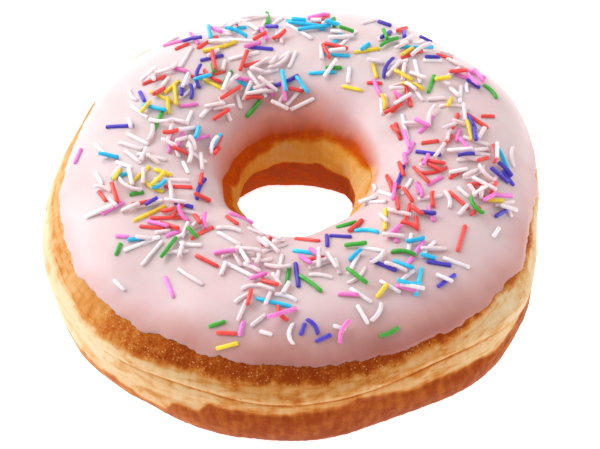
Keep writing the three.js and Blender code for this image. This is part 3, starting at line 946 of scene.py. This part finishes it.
@dataclass(frozen=True)
class DoughRing:
    """The fried ring, with its crust's grain, its wrinkled pale band and its fold."""

    ring: Ring
    browning_and_shade: Browning = Browning()
    finish: CrustFinish = CrustFinish()
    columns: int = 640
    fold_step: float = 0.12
    grain_depth: float = 0.11
    grain_size: float = 1.2
    wrinkle_depth: float = 0.1
    wrinkle_size: float = 3.0
    wrinkle_stretch: tuple[float, float] = (2.6, 0.35)
    unevenness: float = 0.16
    uneven_size: float = 7.0
    crusted: tuple[float, float] = (0.35, 0.7)
    grainy: tuple[float, float] = (0.36, 0.56)
    grains_below: float = 0.15
    grains_in_hole: float = 0.15
    bared_outside: tuple[float, float] = (-0.6, 0.6)
    bared_inside: tuple[float, float] = (-1.5, 0.5)
    over_fold: tuple[float, float] = (-1.0, 1.0)
    under_side: float = -40.0
    under_hole: float = 34.0
    tucked_outside: float = 0.8
    tucked_inside: float = 3.0

    def lathe(self) -> Lathe:
        """Rows close together where the side shows, and few where the icing covers it."""
        ring = self.ring
        return Lathe(self.columns, (
            Stretch(lambda turn: -ring.section.outward[1][-1], 14),
            Stretch(lambda turn: self.under_side, 18),
            Stretch(ring.seam.at, 20),
            Stretch(lambda turn: ring.fold.at(turn) - self.fold_step, 1),
            Stretch(lambda turn: ring.fold.at(turn) + self.fold_step, 30),
            Stretch(lambda turn: ring.outer_edge(turn) + self.tucked_outside, 12),
            Stretch(lambda turn: ring.inner_edge(turn) - self.tucked_inside, 36),
            Stretch(lambda turn: self.under_hole, 16),
            Stretch(lambda turn: ring.section.inward[1][-1], 0),
        ))

    def relief(self, turn: Array, way: Array, points: Array, browning_and_shade: Array) -> Array:
        """How far the crust's grain and wrinkles stand out."""
        bared = np.maximum(
            smoothstep(self.ring.outer_edge(turn) - way, *self.bared_outside),
            smoothstep(way - self.ring.inner_edge(turn), *self.bared_inside),
        )
        crust = smoothstep(browning_and_shade, *self.crusted)
        grains = self.grain_depth * grain(points, self.grain_size, 2, 11.0) * crust
        across, along = self.wrinkle_stretch
        arc = np.radians(turn) * self.ring.centre_radius
        drawn_out = np.stack([way * across, arc * along, np.zeros_like(way)], axis=-1)
        wrinkles = self.wrinkle_depth * grain(drawn_out, self.wrinkle_size, 2, 5.0) * (1.0 - crust)
        broad = self.unevenness * grain(points, self.uneven_size, 2, 3.0)
        return bared * (grains + wrinkles + broad)

    def place(self, turn: Array, row: Array, lathe: Lathe) -> tuple[Array, dict[str, Array]]:
        """Where each vertex lies, how browned and grainy it is, with the painted light and shade that its
        tone carries.
        """
        way = lathe.values(turn, row)
        plain = self.ring.point(turn, way, 0.0)
        browning_and_shade = self.browning_and_shade.at(self.ring, turn, way, plain)
        stand = self.ring.dough_stand(turn, way) + self.relief(turn, way, plain, browning_and_shade)
        points = self.ring.point(turn, way, stand)
        topmost = smoothstep(way - self.ring.fold.at(turn), *self.over_fold)
        holed = self.browning_and_shade.holed(way)
        above = blend(self.grains_below, 1.0, topmost)
        grains = smoothstep(browning_and_shade, *self.grainy) * blend(above, self.grains_in_hole, holed)
        return points, {"browning_and_shade": browning_and_shade, "holed": holed, "grains": grains}

    def build(self) -> bpy.types.Object:
        """Builds and dresses the ring."""
        lathe = self.lathe()
        piece = lathe.build("fried_dough", lambda turn, row: self.place(turn, row, lathe))
        dress(piece, self.finish.material(), "dough_ring")
        return piece


# ---- The icing ----------------------------------------------------------------------------------


@dataclass(frozen=True)
class IcingSheet:
    """The poured icing: a sheet with a scalloped round lip outside, that thins to nothing in the hole."""

    ring: Ring
    browning_and_shade: Browning = Browning()
    finish: IcingFinish = IcingFinish()
    crust: CrustFinish = CrustFinish()
    columns: int = 640
    lip_rows: int = 7
    top_rows: int = 58
    under_rows: int = 9
    lip: float = 1.3
    tooth: float = 0.55
    tooth_size: float = 1.7
    buried: float = 0.25
    sunk: float = 0.3
    sinking: float = 1.6
    bare: Curve = Curve((
        (0, 0.9), (30, 1.8), (60, 1.8), (80, 2), (100, 1.3), (120, 0.2), (140, 0), (155, -0.2),
        (170, -0.4), (185, 0.4), (200, 0.4),
    ))
    fade_reach: Curve = Curve((
        (0, 3.2), (15, 3.8), (30, 4.2), (45, 5.2), (60, 6.8), (80, 9.8), (100, 10), (120, 9.4),
        (140, 8), (155, 8), (170, 5), (185, 2.8), (200, 2.2), (340, 2.4),
    ))
    edge_wander: float = 0.4
    milkiest: float = 0.82
    milk_on_edge: float = 0.8
    # painted light: the icing is made milkier towards the back, away from the shaded front
    painted_light_behind: float = 0.15
    milk_wander: float = 0.03
    least_thin_and_shade: float = 0.25
    # painted warm bounce light with thinner icing: the far wall's icing is made duskier and warmer
    bounce_blush: float = 0.4
    bounce_blush_turn: float = 108.0
    bounce_blush_round: tuple[float, float] = (0.15, 0.95)
    bounce_blush_down: tuple[float, float] = (-16.0, -7.0)
    fade_streaks: float = 0.03
    streak_size: float = 1.3
    outer_radius: float = 43.0
    hole_radius: float = 14.0
    # painted shade: around this turn at the front the dusky band along the outer edge is made wider and
    # deeper
    shaded_front_turn: float = 286.0
    shaded_front_focus: int = 3
    thin_start: float = -0.5
    thin_and_shade_reach: tuple[float, float] = (2.5, 11.0)
    ripple: float = 0.04
    ripple_size: float = 6.0

    def round_grain(self, turn: Array, radius: float, size: float, shift: float) -> Array:
        """Noise that changes with the turn alone, with bumps of a size at a radius."""
        angle = np.radians(turn)
        circle = np.stack([np.cos(angle), np.sin(angle), np.zeros_like(angle)], axis=-1)
        return grain(circle * radius, size, 2, shift)

    def edge(self, turn: Array) -> Array:
        """The way of the outer edge, with fine teeth where it met the crust's grains."""
        teeth = self.round_grain(turn, self.outer_radius, self.tooth_size, 21.0)
        return self.ring.outer_edge(turn) + self.tooth * teeth

    def lathe(self) -> Lathe:
        """Rows as shares round the sheet: 0 to 1 is the lip, 1 to 2 the top, and 2 to 3 the underside."""
        return Lathe(self.columns, (
            Stretch(lambda turn: 0.0, self.lip_rows),
            Stretch(lambda turn: 1.0, self.top_rows),
            Stretch(lambda turn: 2.0, self.under_rows),
            Stretch(lambda turn: 3.0, 0),
        ))

    def course(self, turn: Array, share: Array) -> tuple[Array, Array]:
        """The way of each place and how far it rises from the sheet's underside, by its share round it."""
        outer, inner = self.edge(turn), self.ring.inner_edge(turn)
        swing = np.clip(share, 0.0, 1.0) * math.pi / 2
        way = np.where(share <= 1.0, outer + self.lip * (1.0 - np.cos(swing)), 0.0)
        way = np.where(share > 1.0, blend(outer + self.lip, inner, share - 1.0), way)
        way = np.where(share > 2.0, blend(inner, outer, share - 2.0), way)
        return way, np.where(share <= 1.0, np.sin(swing), 1.0)

    def stand(self, turn: Array, way: Array, rise: Array, under: Array) -> Array:
        """How far each place stands out of the ring's form: the underside lies just in the dough."""
        past_edge = way - self.ring.inner_edge(turn)
        fading = 1.0 - smoothstep(past_edge, *self.ring.taper)
        bottom = self.ring.dough_stand(turn, way)
        top = blend(bottom, self.ring.icing_stand(turn, way), rise)
        top = top - self.sunk * smoothstep(past_edge, -self.sinking, 0.0)
        return np.where(under, bottom - self.buried * fading - self.sunk * (1.0 - fading), top)

    def cover(self, turn: Array, way: Array, wander: Array) -> Array:
        """How far the icing hides the crust: it fades to bare crust down the hole's wall."""
        reach = self.fade_reach.at(turn)
        streaks = self.fade_streaks * self.round_grain(turn, self.hole_radius, self.streak_size, 4.0) * reach
        end = self.ring.inner_edge(turn) - self.bare.at(turn) - self.edge_wander * wander - streaks
        return np.clip((end - way) / reach, 0.0, 1.0)

    def milk_and_shade(self, turn: Array, way: Array, wander: Array) -> Array:
        """How milky the icing is: duskier where it lies thinner by the outer edge, with painted shade that
        widens and deepens this towards the front, painted light that makes the back milkier, and a duskier
        warm tint of painted bounce light over the far wall's crust.
        """
        front = 0.5 + 0.5 * np.cos(np.radians(turn - self.shaded_front_turn))
        foremost = front**self.shaded_front_focus
        thick = smoothstep(way - self.edge(turn), self.thin_start, blend(*self.thin_and_shade_reach, foremost))
        # thinner icing near the outer edge, with painted shade added at the front
        thin = (1.0 - thick) * blend(self.least_thin_and_shade, 1.0, foremost)
        far = smoothstep(np.cos(np.radians(turn - self.bounce_blush_turn)), *self.bounce_blush_round)
        far = far * smoothstep(way - self.ring.inner_edge(turn), *self.bounce_blush_down)
        # painted shade at the front and painted light behind, on top of the milkiness
        milk_and_shade = self.milkiest - self.milk_on_edge * thin + self.painted_light_behind * (1.0 - front)
        return milk_and_shade + self.milk_wander * wander - self.bounce_blush * far

    def place(self, turn: Array, row: Array, lathe: Lathe) -> tuple[Array, dict[str, Array]]:
        """Where each vertex lies, how milky it is with its painted light and shade, and how far it covers
        the crust.
        """
        share = lathe.values(turn, row)
        under = share > 2.0
        way, rise = self.course(turn, share)
        stand = self.stand(turn, way, rise, under)
        wander = grain(self.ring.point(turn, way, stand), self.ripple_size, 2, 8.0)
        fading = 1.0 - smoothstep(way - self.ring.inner_edge(turn), *self.ring.taper)
        ripple = np.where(under, 0.0, self.ripple * wander * fading)
        points = self.ring.point(turn, way, stand + ripple)
        return points, {
            "milk_and_shade": self.milk_and_shade(turn, way, wander),
            "cover": self.cover(turn, way, wander),
            "browning_and_shade": self.browning_and_shade.at(self.ring, turn, way, points),
            "holed": self.browning_and_shade.holed(way),
            "grains": np.zeros_like(way),
        }

    def build(self) -> bpy.types.Object:
        """Builds and dresses the sheet."""
        lathe = self.lathe()
        piece = lathe.build("poured_icing", lambda turn, row: self.place(turn, row, lathe))
        dress(piece, self.finish.material(self.crust), "icing")
        return piece


# ---- The sugar strands --------------------------------------------------------------------------


@dataclass(frozen=True)
class Drift:
    """Where strands fell thickly: its place, its spread (degrees, mm), its share and its main colour."""

    turn: float
    way: float
    spread: tuple[float, float]
    share: int
    lead: SugarColour


@dataclass(frozen=True)
class DrawnStrand:
    """A strand before it is laid: its middle, heading, length, sideways bend and colour."""

    turn: float
    way: float
    heading: float
    length: float
    bend: float
    colour: SugarColour
    width: float
    shade: float


@dataclass(frozen=True)
class LaidStrand:
    """A strand where it lies, with its three directions, in millimetres."""

    drawn: DrawnStrand
    middle: Array
    along: Array
    aside: Array
    up: Array
    point_count: int = 9

    @cached_property
    def points(self) -> Array:
        """Points along its middle line."""
        share = np.linspace(-1.0, 1.0, self.point_count)[:, None]
        sideways = self.aside * self.drawn.bend * (1.0 - share * share)
        return self.middle + self.along * share * self.drawn.length / 2 + sideways


DRIFTS = (
    Drift(4, -5, (7, 6), 32, SugarColour.INDIGO),
    Drift(20, 3, (8, 4), 20, SugarColour.PINK),
    Drift(28, -6, (8, 5), 24, SugarColour.RED),
    Drift(42, 1, (8, 5), 28, SugarColour.YELLOW),
    Drift(53, -8, (6, 5), 24, SugarColour.INDIGO),
    Drift(72, 1, (6, 4), 22, SugarColour.RED),
    Drift(80, -7, (6, 4), 18, SugarColour.CYAN),
    Drift(98, 10, (9, 3.5), 36, SugarColour.WHITE),
    Drift(115, 8, (6, 4.5), 24, SugarColour.GREEN),
    Drift(103, -3, (8, 4), 34, SugarColour.RED),
    Drift(113, -9, (9, 4), 20, SugarColour.WHITE),
    Drift(128, 5, (5, 5), 14, SugarColour.INDIGO),
    Drift(144, -2, (8, 3), 24, SugarColour.YELLOW),
    Drift(157, 4, (8, 4), 20, SugarColour.WHITE),
    Drift(155, 13, (9, 3), 10, SugarColour.RED),
    Drift(174, 3, (7, 6), 24, SugarColour.WHITE),
    Drift(192, 2, (8, 5), 32, SugarColour.YELLOW),
    Drift(210, 5, (8, 3), 30, SugarColour.RED),
    Drift(223, 0, (6, 5), 26, SugarColour.RED),
    Drift(248, 4, (7, 5), 30, SugarColour.WHITE),
    Drift(260, -2, (5, 6), 28, SugarColour.RED),
    Drift(283, 4, (7, 4), 24, SugarColour.INDIGO),
    Drift(298, -2, (9, 5), 20, SugarColour.WHITE),
    Drift(313, 0, (8, 5), 46, SugarColour.CYAN),
    Drift(330, 7, (9, 4), 24, SugarColour.RED),
    Drift(346, 0, (7, 6), 30, SugarColour.RED),
    Drift(350, -9, (7, 4), 26, SugarColour.INDIGO),
)


def lone(
    colour: SugarColour, turn: float, way: float, heading: float, length: float, bend: float = 0.0,
) -> DrawnStrand:
    """A strand that fell apart from the rest, with its heading in degrees (90 is into the hole)."""
    return DrawnStrand(turn, way, math.radians(heading), length, bend, colour, width=0.92, shade=0.6)


LONE_STRANDS = (
    lone(SugarColour.GREEN, 248, -10.2, 33, 3.2),
    lone(SugarColour.RED, 251, -11.4, 9, 3.8),
    lone(SugarColour.PINK, 254.5, -10, 88, 3),
    lone(SugarColour.YELLOW, 252, -13.6, 25, 4.2),
    lone(SugarColour.WHITE, 261, -10.3, 167, 2.4),
    lone(SugarColour.WHITE, 268, -10.5, 90, 4, 0.8),
    lone(SugarColour.INDIGO, 270.5, -9.8, 66, 2.5),
    lone(SugarColour.INDIGO, 273, -9.6, 119, 3.6, -0.5),
    lone(SugarColour.INDIGO, 275.5, -12, 14, 3.2),
    lone(SugarColour.WHITE, 280, -10.7, 153, 2.4),
    lone(SugarColour.WHITE, 287, -9.4, 100, 4.1),
    lone(SugarColour.GREEN, 210, -7.6, 129, 2.7),
    lone(SugarColour.PINK, 207, -5.8, 46, 2.6),
    lone(SugarColour.PINK, 171, -12.8, 174, 3.9),
    lone(SugarColour.INDIGO, 160, -5.9, 101, 5.6),
    lone(SugarColour.CYAN, 182, -3, 103, 4),
    lone(SugarColour.PINK, 195, -5.1, 106, 4.9),
    lone(SugarColour.PINK, 226, 15.2, 38, 5),
    lone(SugarColour.RED, 226, 12.4, 0, 3.3),
    lone(SugarColour.WHITE, 334, -11.6, 166, 2.9),
    lone(SugarColour.WHITE, 343, -13.4, 31, 3),
    lone(SugarColour.INDIGO, 312, -9.7, 1, 4.5),
    lone(SugarColour.RED, 326, -6.2, 12, 6.5),
    lone(SugarColour.WHITE, 318, -8.2, 114, 5.3),
)


@dataclass(frozen=True)
class SugarStrands:
    """The strewn strands: those that lie on the icing, and those that lie crossed on others."""

    ring: Ring
    finish: SugarFinish = SugarFinish()
    drifts: tuple[Drift, ...] = DRIFTS
    lone_strands: tuple[DrawnStrand, ...] = LONE_STRANDS
    drawn: int = 920
    shown: int = 510
    thickness: float = 0.9
    least_width: float = 0.86
    width_swing: float = 0.12
    shortest: float = 2.8
    usual: float = 2.6
    long_share: float = 0.1
    long: float = 2.2
    bent_share: float = 0.3
    bend: float = 0.15
    nested: float = 0.8
    sunk: float = 0.3
    clear: float = 1.0
    outer_limit: float = -15.0
    inner_limit: float = 15.5
    edge_margin: float = 3.2
    seed: int = 20417
    colour_seed: int = 90817
    lead_share: float = 0.2
    highest: float = 2.0
    steepest: float = 0.45
    over_box: float = 0.9
    sides: int = 8
    cuts: int = 3
    rounding: float = 0.16
    feet_across: int = 13

    def pick_drift(self, draw: Draw) -> Drift:
        """Draws a drift by its share."""
        left = draw.next() * sum(drift.share for drift in self.drifts)
        for drift in self.drifts:
            left -= drift.share
            if left < 0.0:
                return drift
        return self.drifts[0]

    def pick_colour(self, draw: Draw, drift: Drift) -> SugarColour:
        """Draws a colour: often its drift's own, else any by its share."""
        led = draw.next() < self.lead_share
        left = draw.next() * sum(colour.share for colour in SugarColour)
        for colour in SugarColour:
            left -= colour.share
            if left < 0.0:
                return drift.lead if led else colour
        return drift.lead

    def draw_strand(self, draw: Draw, looks: Draw) -> DrawnStrand:
        """Draws one strand's place and shape from one stream, and its looks from another."""
        drift = self.pick_drift(draw)
        turn = drift.turn + drift.spread[0] * draw.bell()
        way = drift.way + drift.spread[1] * draw.bell()
        heading = math.pi * draw.next()
        extra = self.long if draw.next() < self.long_share else 0.0
        length = self.shortest + self.usual * draw.next() + extra
        bent = draw.next() < self.bent_share
        sideways = self.bend * length * (2.0 * draw.next() - 1.0)
        return DrawnStrand(
            turn, way, heading, length, sideways if bent else 0.0, self.pick_colour(looks, drift),
            width=self.least_width + self.width_swing * looks.next(), shade=looks.next(),
        )

    def fits(self, strand: DrawnStrand) -> bool:
        """Whether a strand lies on the icing from end to end."""
        reach = abs(math.sin(strand.heading)) * strand.length * 0.5
        edge = float(self.ring.outer_edge(np.array(strand.turn)))
        lowest = max(self.outer_limit, edge + self.edge_margin)
        return strand.way - reach > lowest and strand.way + reach < self.inner_limit

    def feet(self, strand: DrawnStrand, along: Array, aside: Array) -> tuple[Array, Array]:
        """Places on the icing under a strand, and the normals there.

        Args:
            strand: The strand.
            along: How far each place lies along it from its middle.
            aside: How far each lies aside.

        Returns:
            The places and the normals, one a row.
        """
        across = self.ring.section.at_way(np.array(strand.way))[0]
        radius = self.ring.centre_radius + float(across)
        sin, cos = math.sin(strand.heading), math.cos(strand.heading)
        turn = strand.turn + np.degrees((along * cos - aside * sin) / radius)
        way = strand.way + along * sin + aside * cos
        return self.ring.point(turn, way, self.ring.icing_stand(turn, way)), self.ring.normal(turn, way)

    def lay_flat(self, strand: DrawnStrand) -> LaidStrand:
        """Lays a strand on the icing."""
        half = strand.length / 2
        along = np.array([-half, half, 0.0, 0.0, 0.0])
        aside = np.array([0.0, 0.0, half, -half, 0.0])
        foot, normal = self.feet(strand, along, aside)
        spot = foot + normal * (self.thickness / 2 - self.sunk)
        start, end, left, right, middle = spot
        line = (end - start) / np.linalg.norm(end - start)
        up = np.cross(line, left - right)
        up = up / np.linalg.norm(up)
        return LaidStrand(strand, ((start + end) / 2 + middle) / 2, line, np.cross(up, line), up)

    def lay_across(self, strand: DrawnStrand, others: Array) -> LaidStrand | None:
        """Lays a strand on the icing and on the strands that it crosses.

        Args:
            strand: The strand.
            others: Points along the middle lines of those already laid.

        Returns:
            It where it comes to rest, or None where it would stand too high or too steep.
        """
        along = np.linspace(-0.5, 0.5, self.feet_across) * strand.length
        foot, normal = self.feet(strand, along, np.zeros_like(along))
        centre, upright = foot[self.feet_across // 2], normal[self.feet_across // 2]
        line = (foot[-1] - foot[0]) / np.linalg.norm(foot[-1] - foot[0])
        up = upright - line * float(upright @ line)
        up = up / np.linalg.norm(up)
        ground = (foot - centre) @ up + self.thickness / 2 - self.sunk / 2
        near = others[np.linalg.norm(others - centre, axis=1) < strand.length / 2 + 2 * self.thickness]
        gap = near[None] - foot[:, None]
        height = gap @ up
        flat = np.linalg.norm(gap - height[..., None] * up, axis=-1)
        reach = self.thickness * self.nested
        rest = np.sqrt(np.maximum(0.0, reach**2 - flat**2))
        level = (foot - centre) @ up
        needed = np.where(flat < reach, level[:, None] + height + rest, -np.inf)
        support = np.maximum(ground, needed.max(axis=1, initial=-np.inf))
        run = (foot - centre) @ line
        slope, middle = self.resting_line(run, support)
        tilt = line + up * slope
        tilt = tilt / np.linalg.norm(tilt)
        if abs(slope) > self.steepest or middle + abs(slope) * strand.length / 2 > self.highest:
            return None
        raised = np.cross(tilt, np.cross(up, tilt))
        raised = raised / np.linalg.norm(raised)
        return LaidStrand(strand, centre + up * middle, tilt, np.cross(raised, tilt), raised)

    def resting_line(self, run: Array, support: Array) -> tuple[float, float]:
        """The line on which a rod comes to rest over uneven supports.

        Args:
            run: Where each support is, from the rod's middle.
            support: How high it is.

        Returns:
            The line's slope, and its height at the middle.
        """
        left, right = run < -1e-6, run > 1e-6
        low, high = np.meshgrid(run[left], run[right], indexing="ij")
        low_rest, high_rest = np.meshgrid(support[left], support[right], indexing="ij")
        slope = (high_rest - low_rest) / (high - low)
        middle = low_rest - slope * low
        best = np.unravel_index(np.argmax(middle), middle.shape)
        return float(slope[best]), float(max(middle[best], support[~left & ~right].max()))

    def strew(self) -> list[LaidStrand]:
        """All the strands: the lone ones and the longest lie on the icing, and the rest across."""
        draw, looks = Draw(self.seed), Draw(self.colour_seed)
        drawn = [self.draw_strand(draw, looks) for _ in range(self.drawn)]
        fitting = [strand for strand in drawn if self.fits(strand)]
        laid = [self.lay_flat(strand) for strand in self.lone_strands]
        crossed: list[DrawnStrand] = []
        for strand in sorted(fitting, key=lambda one: -one.length):
            flat = self.lay_flat(strand)
            taken = np.concatenate([other.points for other in laid])
            gap = np.linalg.norm(flat.points[:, None] - taken[None], axis=-1).min()
            if gap < self.clear:
                crossed.append(strand)
            else:
                laid.append(flat)
        log.info("%d strands lie on the icing", len(laid))
        ceiling = float(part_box("icing")[1].z) / MM + self.over_box
        for strand in sorted(crossed, key=lambda one: one.shade):
            across = self.lay_across(strand, np.concatenate([other.points for other in laid]))
            if across is None or across.points[:, 2].max() + self.thickness / 2 > ceiling:
                continue
            laid.append(across)
            if len(laid) >= self.shown:
                break
        log.info("%d strands in all", len(laid))
        return laid

    def template(self) -> bpy.types.Mesh:
        """One straight strand along Z with softly rounded ends, cut across so that it can bend."""
        mesh = bmesh.new()
        mesh.verts.layers.float.new("shade")
        radius = self.thickness / 2
        bmesh.ops.create_cone(
            mesh, cap_ends=True, segments=self.sides, radius1=radius, radius2=radius,
            depth=4 * self.thickness,
        )
        rims = [edge for edge in mesh.edges if abs(edge.verts[0].co.z - edge.verts[1].co.z) < radius]
        bmesh.ops.bevel(
            mesh, geom=rims, offset=self.rounding, offset_type="OFFSET", segments=1, profile=0.5,
            affect="EDGES", material=-1,
        )
        sides = [edge for edge in mesh.edges if abs(edge.verts[0].co.z - edge.verts[1].co.z) > 2 * radius]
        bmesh.ops.subdivide_edges(mesh, edges=sides, cuts=self.cuts)
        for face in mesh.faces:
            face.smooth = True
        strand = bpy.data.meshes.new("strand")
        mesh.to_mesh(strand)
        mesh.free()
        return strand

    def add_strand(self, heap: bmesh.types.BMesh, template: bpy.types.Mesh, strand: LaidStrand) -> None:
        """Adds a strand to its colour's heap, drawn out to its length, bent and put in its place."""
        drawn = strand.drawn
        half, nominal = drawn.length / 2, 2 * self.thickness
        first = len(heap.verts)
        heap.from_mesh(template)
        heap.verts.ensure_lookup_table()
        shade = heap.verts.layers.float["shade"]
        for vertex in heap.verts[first:]:
            aside, up, reach = vertex.co
            end = nominal - abs(reach)
            drawn_out = math.copysign(half - end, reach) if end < self.thickness else reach * half / nominal
            bow = drawn.bend * (1.0 - (drawn_out / half) ** 2)
            place = (
                strand.middle + strand.along * drawn_out
                + strand.aside * (aside * drawn.width + bow) + strand.up * up * drawn.width
            )
            vertex.co = Vector(place.tolist()) * MM
            vertex[shade] = drawn.shade

    def build(self) -> list[bpy.types.Object]:
        """Builds and dresses the strands, one piece for each colour."""
        laid = self.strew()
        template = self.template()
        pieces = []
        for colour in SugarColour:
            heap = bmesh.new()
            for strand in laid:
                if strand.drawn.colour is colour:
                    self.add_strand(heap, template, strand)
            mesh = bpy.data.meshes.new(colour.slot)
            bmesh.ops.recalc_face_normals(heap, faces=heap.faces[:])
            heap.to_mesh(mesh)
            heap.free()
            piece = shown(f"{colour.slot}_strands", mesh)
            dress(piece, self.finish.material(colour), "icing")
            pieces.append(piece)
        return pieces


# ---- The studio ---------------------------------------------------------------------------------


@dataclass(frozen=True)
class SoftLight:
    """A soft square light: the turn and elevation it shines from, its distance, size and power."""

    name: str
    turn: float
    elevation: float
    distance: float
    size: float
    power: float
    colour: str = "#ffffff"

    def place(self, aim: Vector) -> None:
        """Hangs the light, facing what it lights."""
        lamp = bpy.data.lights.new(self.name, "AREA")
        lamp.shape = "SQUARE"
        lamp.size = self.size
        lamp.energy = self.power
        lamp.color = paint(self.colour)[:3]
        level, turn = math.radians(self.elevation), math.radians(self.turn)
        away = Vector((math.cos(level) * math.cos(turn), math.cos(level) * math.sin(turn), math.sin(level)))
        light = bpy.data.objects.new(self.name, lamp)
        light.location = aim + away * self.distance
        light.rotation_euler = away.to_track_quat("Z", "Y").to_euler()
        bpy.context.scene.collection.objects.link(light)


@dataclass(frozen=True)
class Studio:
    """A plain pale floor, soft lights and the camera."""

    ring: Ring
    floor_size: float = 4.0
    floor_gap: float = 0.02
    floor_colour: str = "#f4f2f1"
    # glow inside the hole and outside it: the brighter glow in the hole is painted light over the ring's
    # shade
    floor_glow: tuple[float, float] = (1.05, 0.8)
    glow_reach: tuple[float, float] = (17.0, 24.0)
    sky: float = 0.03
    lights: tuple[SoftLight, ...] = (
        SoftLight("key_light", 135, 45, 0.8, 0.6, 4.9),
        SoftLight("left_light", 170, 25, 0.8, 0.6, 4.65),
        SoftLight("right_light", 0, 25, 0.8, 0.6, 3.7),
        SoftLight("back_light", 90, 25, 0.8, 0.6, 1.9),
        SoftLight("front_light", 270, 45, 0.8, 0.6, 2.4),
    )
    elevation: float = 48.915
    roll: float = 2.908
    distance: float = 500.0
    aim_height: float = 16.6
    aim_right: float = 0.98
    aim_down: float = 2.1
    lens: float = 153.4

    def lay_floor(self) -> None:
        """Lays the pale floor just under the ring, glowing evenly outside and brighter inside the hole,
        where the extra glow is painted light that clears the ring's shade.
        """
        mesh = bmesh.new()
        low = Matrix.Translation((0.0, 0.0, -self.floor_gap * MM))
        bmesh.ops.create_grid(mesh, x_segments=1, y_segments=1, size=self.floor_size / 2, matrix=low)
        data = bpy.data.meshes.new("floor")
        mesh.to_mesh(data)
        mesh.free()
        floor = shown("floor", data)
        recipe = Recipe("pale_floor")
        away = recipe.vector("LENGTH", recipe.place)
        near, far = (reach * MM for reach in self.glow_reach)
        # painted light: the floor glows brighter within the hole, where the ring's shade falls
        glow = recipe.between(away, near, far, *self.floor_glow)
        recipe.set(
            Base_Color=paint(self.floor_colour), Roughness=0.9, Specular_IOR_Level=0.0,
            Emission_Color=paint("#ffffff"), Emission_Strength=glow,
        )
        data.materials.append(recipe.material)

    def hang_lights(self) -> None:
        """Hangs the lights and sets the even light all round."""
        aim = Vector((0.0, 0.0, self.aim_height * MM))
        for light in self.lights:
            light.place(aim)
        world = bpy.data.worlds.new("sky")
        world.use_nodes = True
        background = world.node_tree.nodes["Background"]
        background.inputs["Color"].default_value = (1.0, 1.0, 1.0, 1.0)
        background.inputs["Strength"].default_value = self.sky
        bpy.context.scene.world = world

    def place_camera(self) -> None:
        """Places the camera before the ring, looking down on it."""
        level, roll = math.radians(self.elevation), math.radians(self.roll)
        back = Vector((0.0, -math.cos(level), math.sin(level)))
        right, up = Vector((1.0, 0.0, 0.0)), Vector((0.0, math.sin(level), math.cos(level)))
        side = right * math.cos(roll) - up * math.sin(roll)
        top = right * math.sin(roll) + up * math.cos(roll)
        middle = Vector((*self.ring.centre, self.aim_height))
        eye = middle + back * self.distance
        away = (eye - (middle + side * self.aim_right - top * self.aim_down)).normalized()
        side = top.cross(away).normalized()
        turned = Matrix((side, away.cross(side), away)).transposed().to_4x4()
        camera = bpy.data.objects.new("camera", bpy.data.cameras.new("camera"))
        camera.data.lens = self.lens
        camera.data.sensor_width = 36.0
        camera.data.clip_start = 0.01
        camera.matrix_world = Matrix.Translation(eye * MM) @ turned
        bpy.context.scene.collection.objects.link(camera)
        bpy.context.scene.camera = camera

    def build(self) -> None:
        """Sets up the studio."""
        self.place_camera()
        self.lay_floor()
        self.hang_lights()
        bpy.context.scene.view_settings.view_transform = "Standard"


def main() -> None:
    """Builds the studio, then the dough, icing and sugar strands in order; each piece logs its face count.
    """
    logging.basicConfig(level=logging.INFO, format="%(name)s: %(message)s")
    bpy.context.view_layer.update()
    ring = Ring()
    Studio(ring).build()
    DoughRing(ring).build()
    IcingSheet(ring).build()
    SugarStrands(ring).build()


if __name__ == "__main__":
    main()
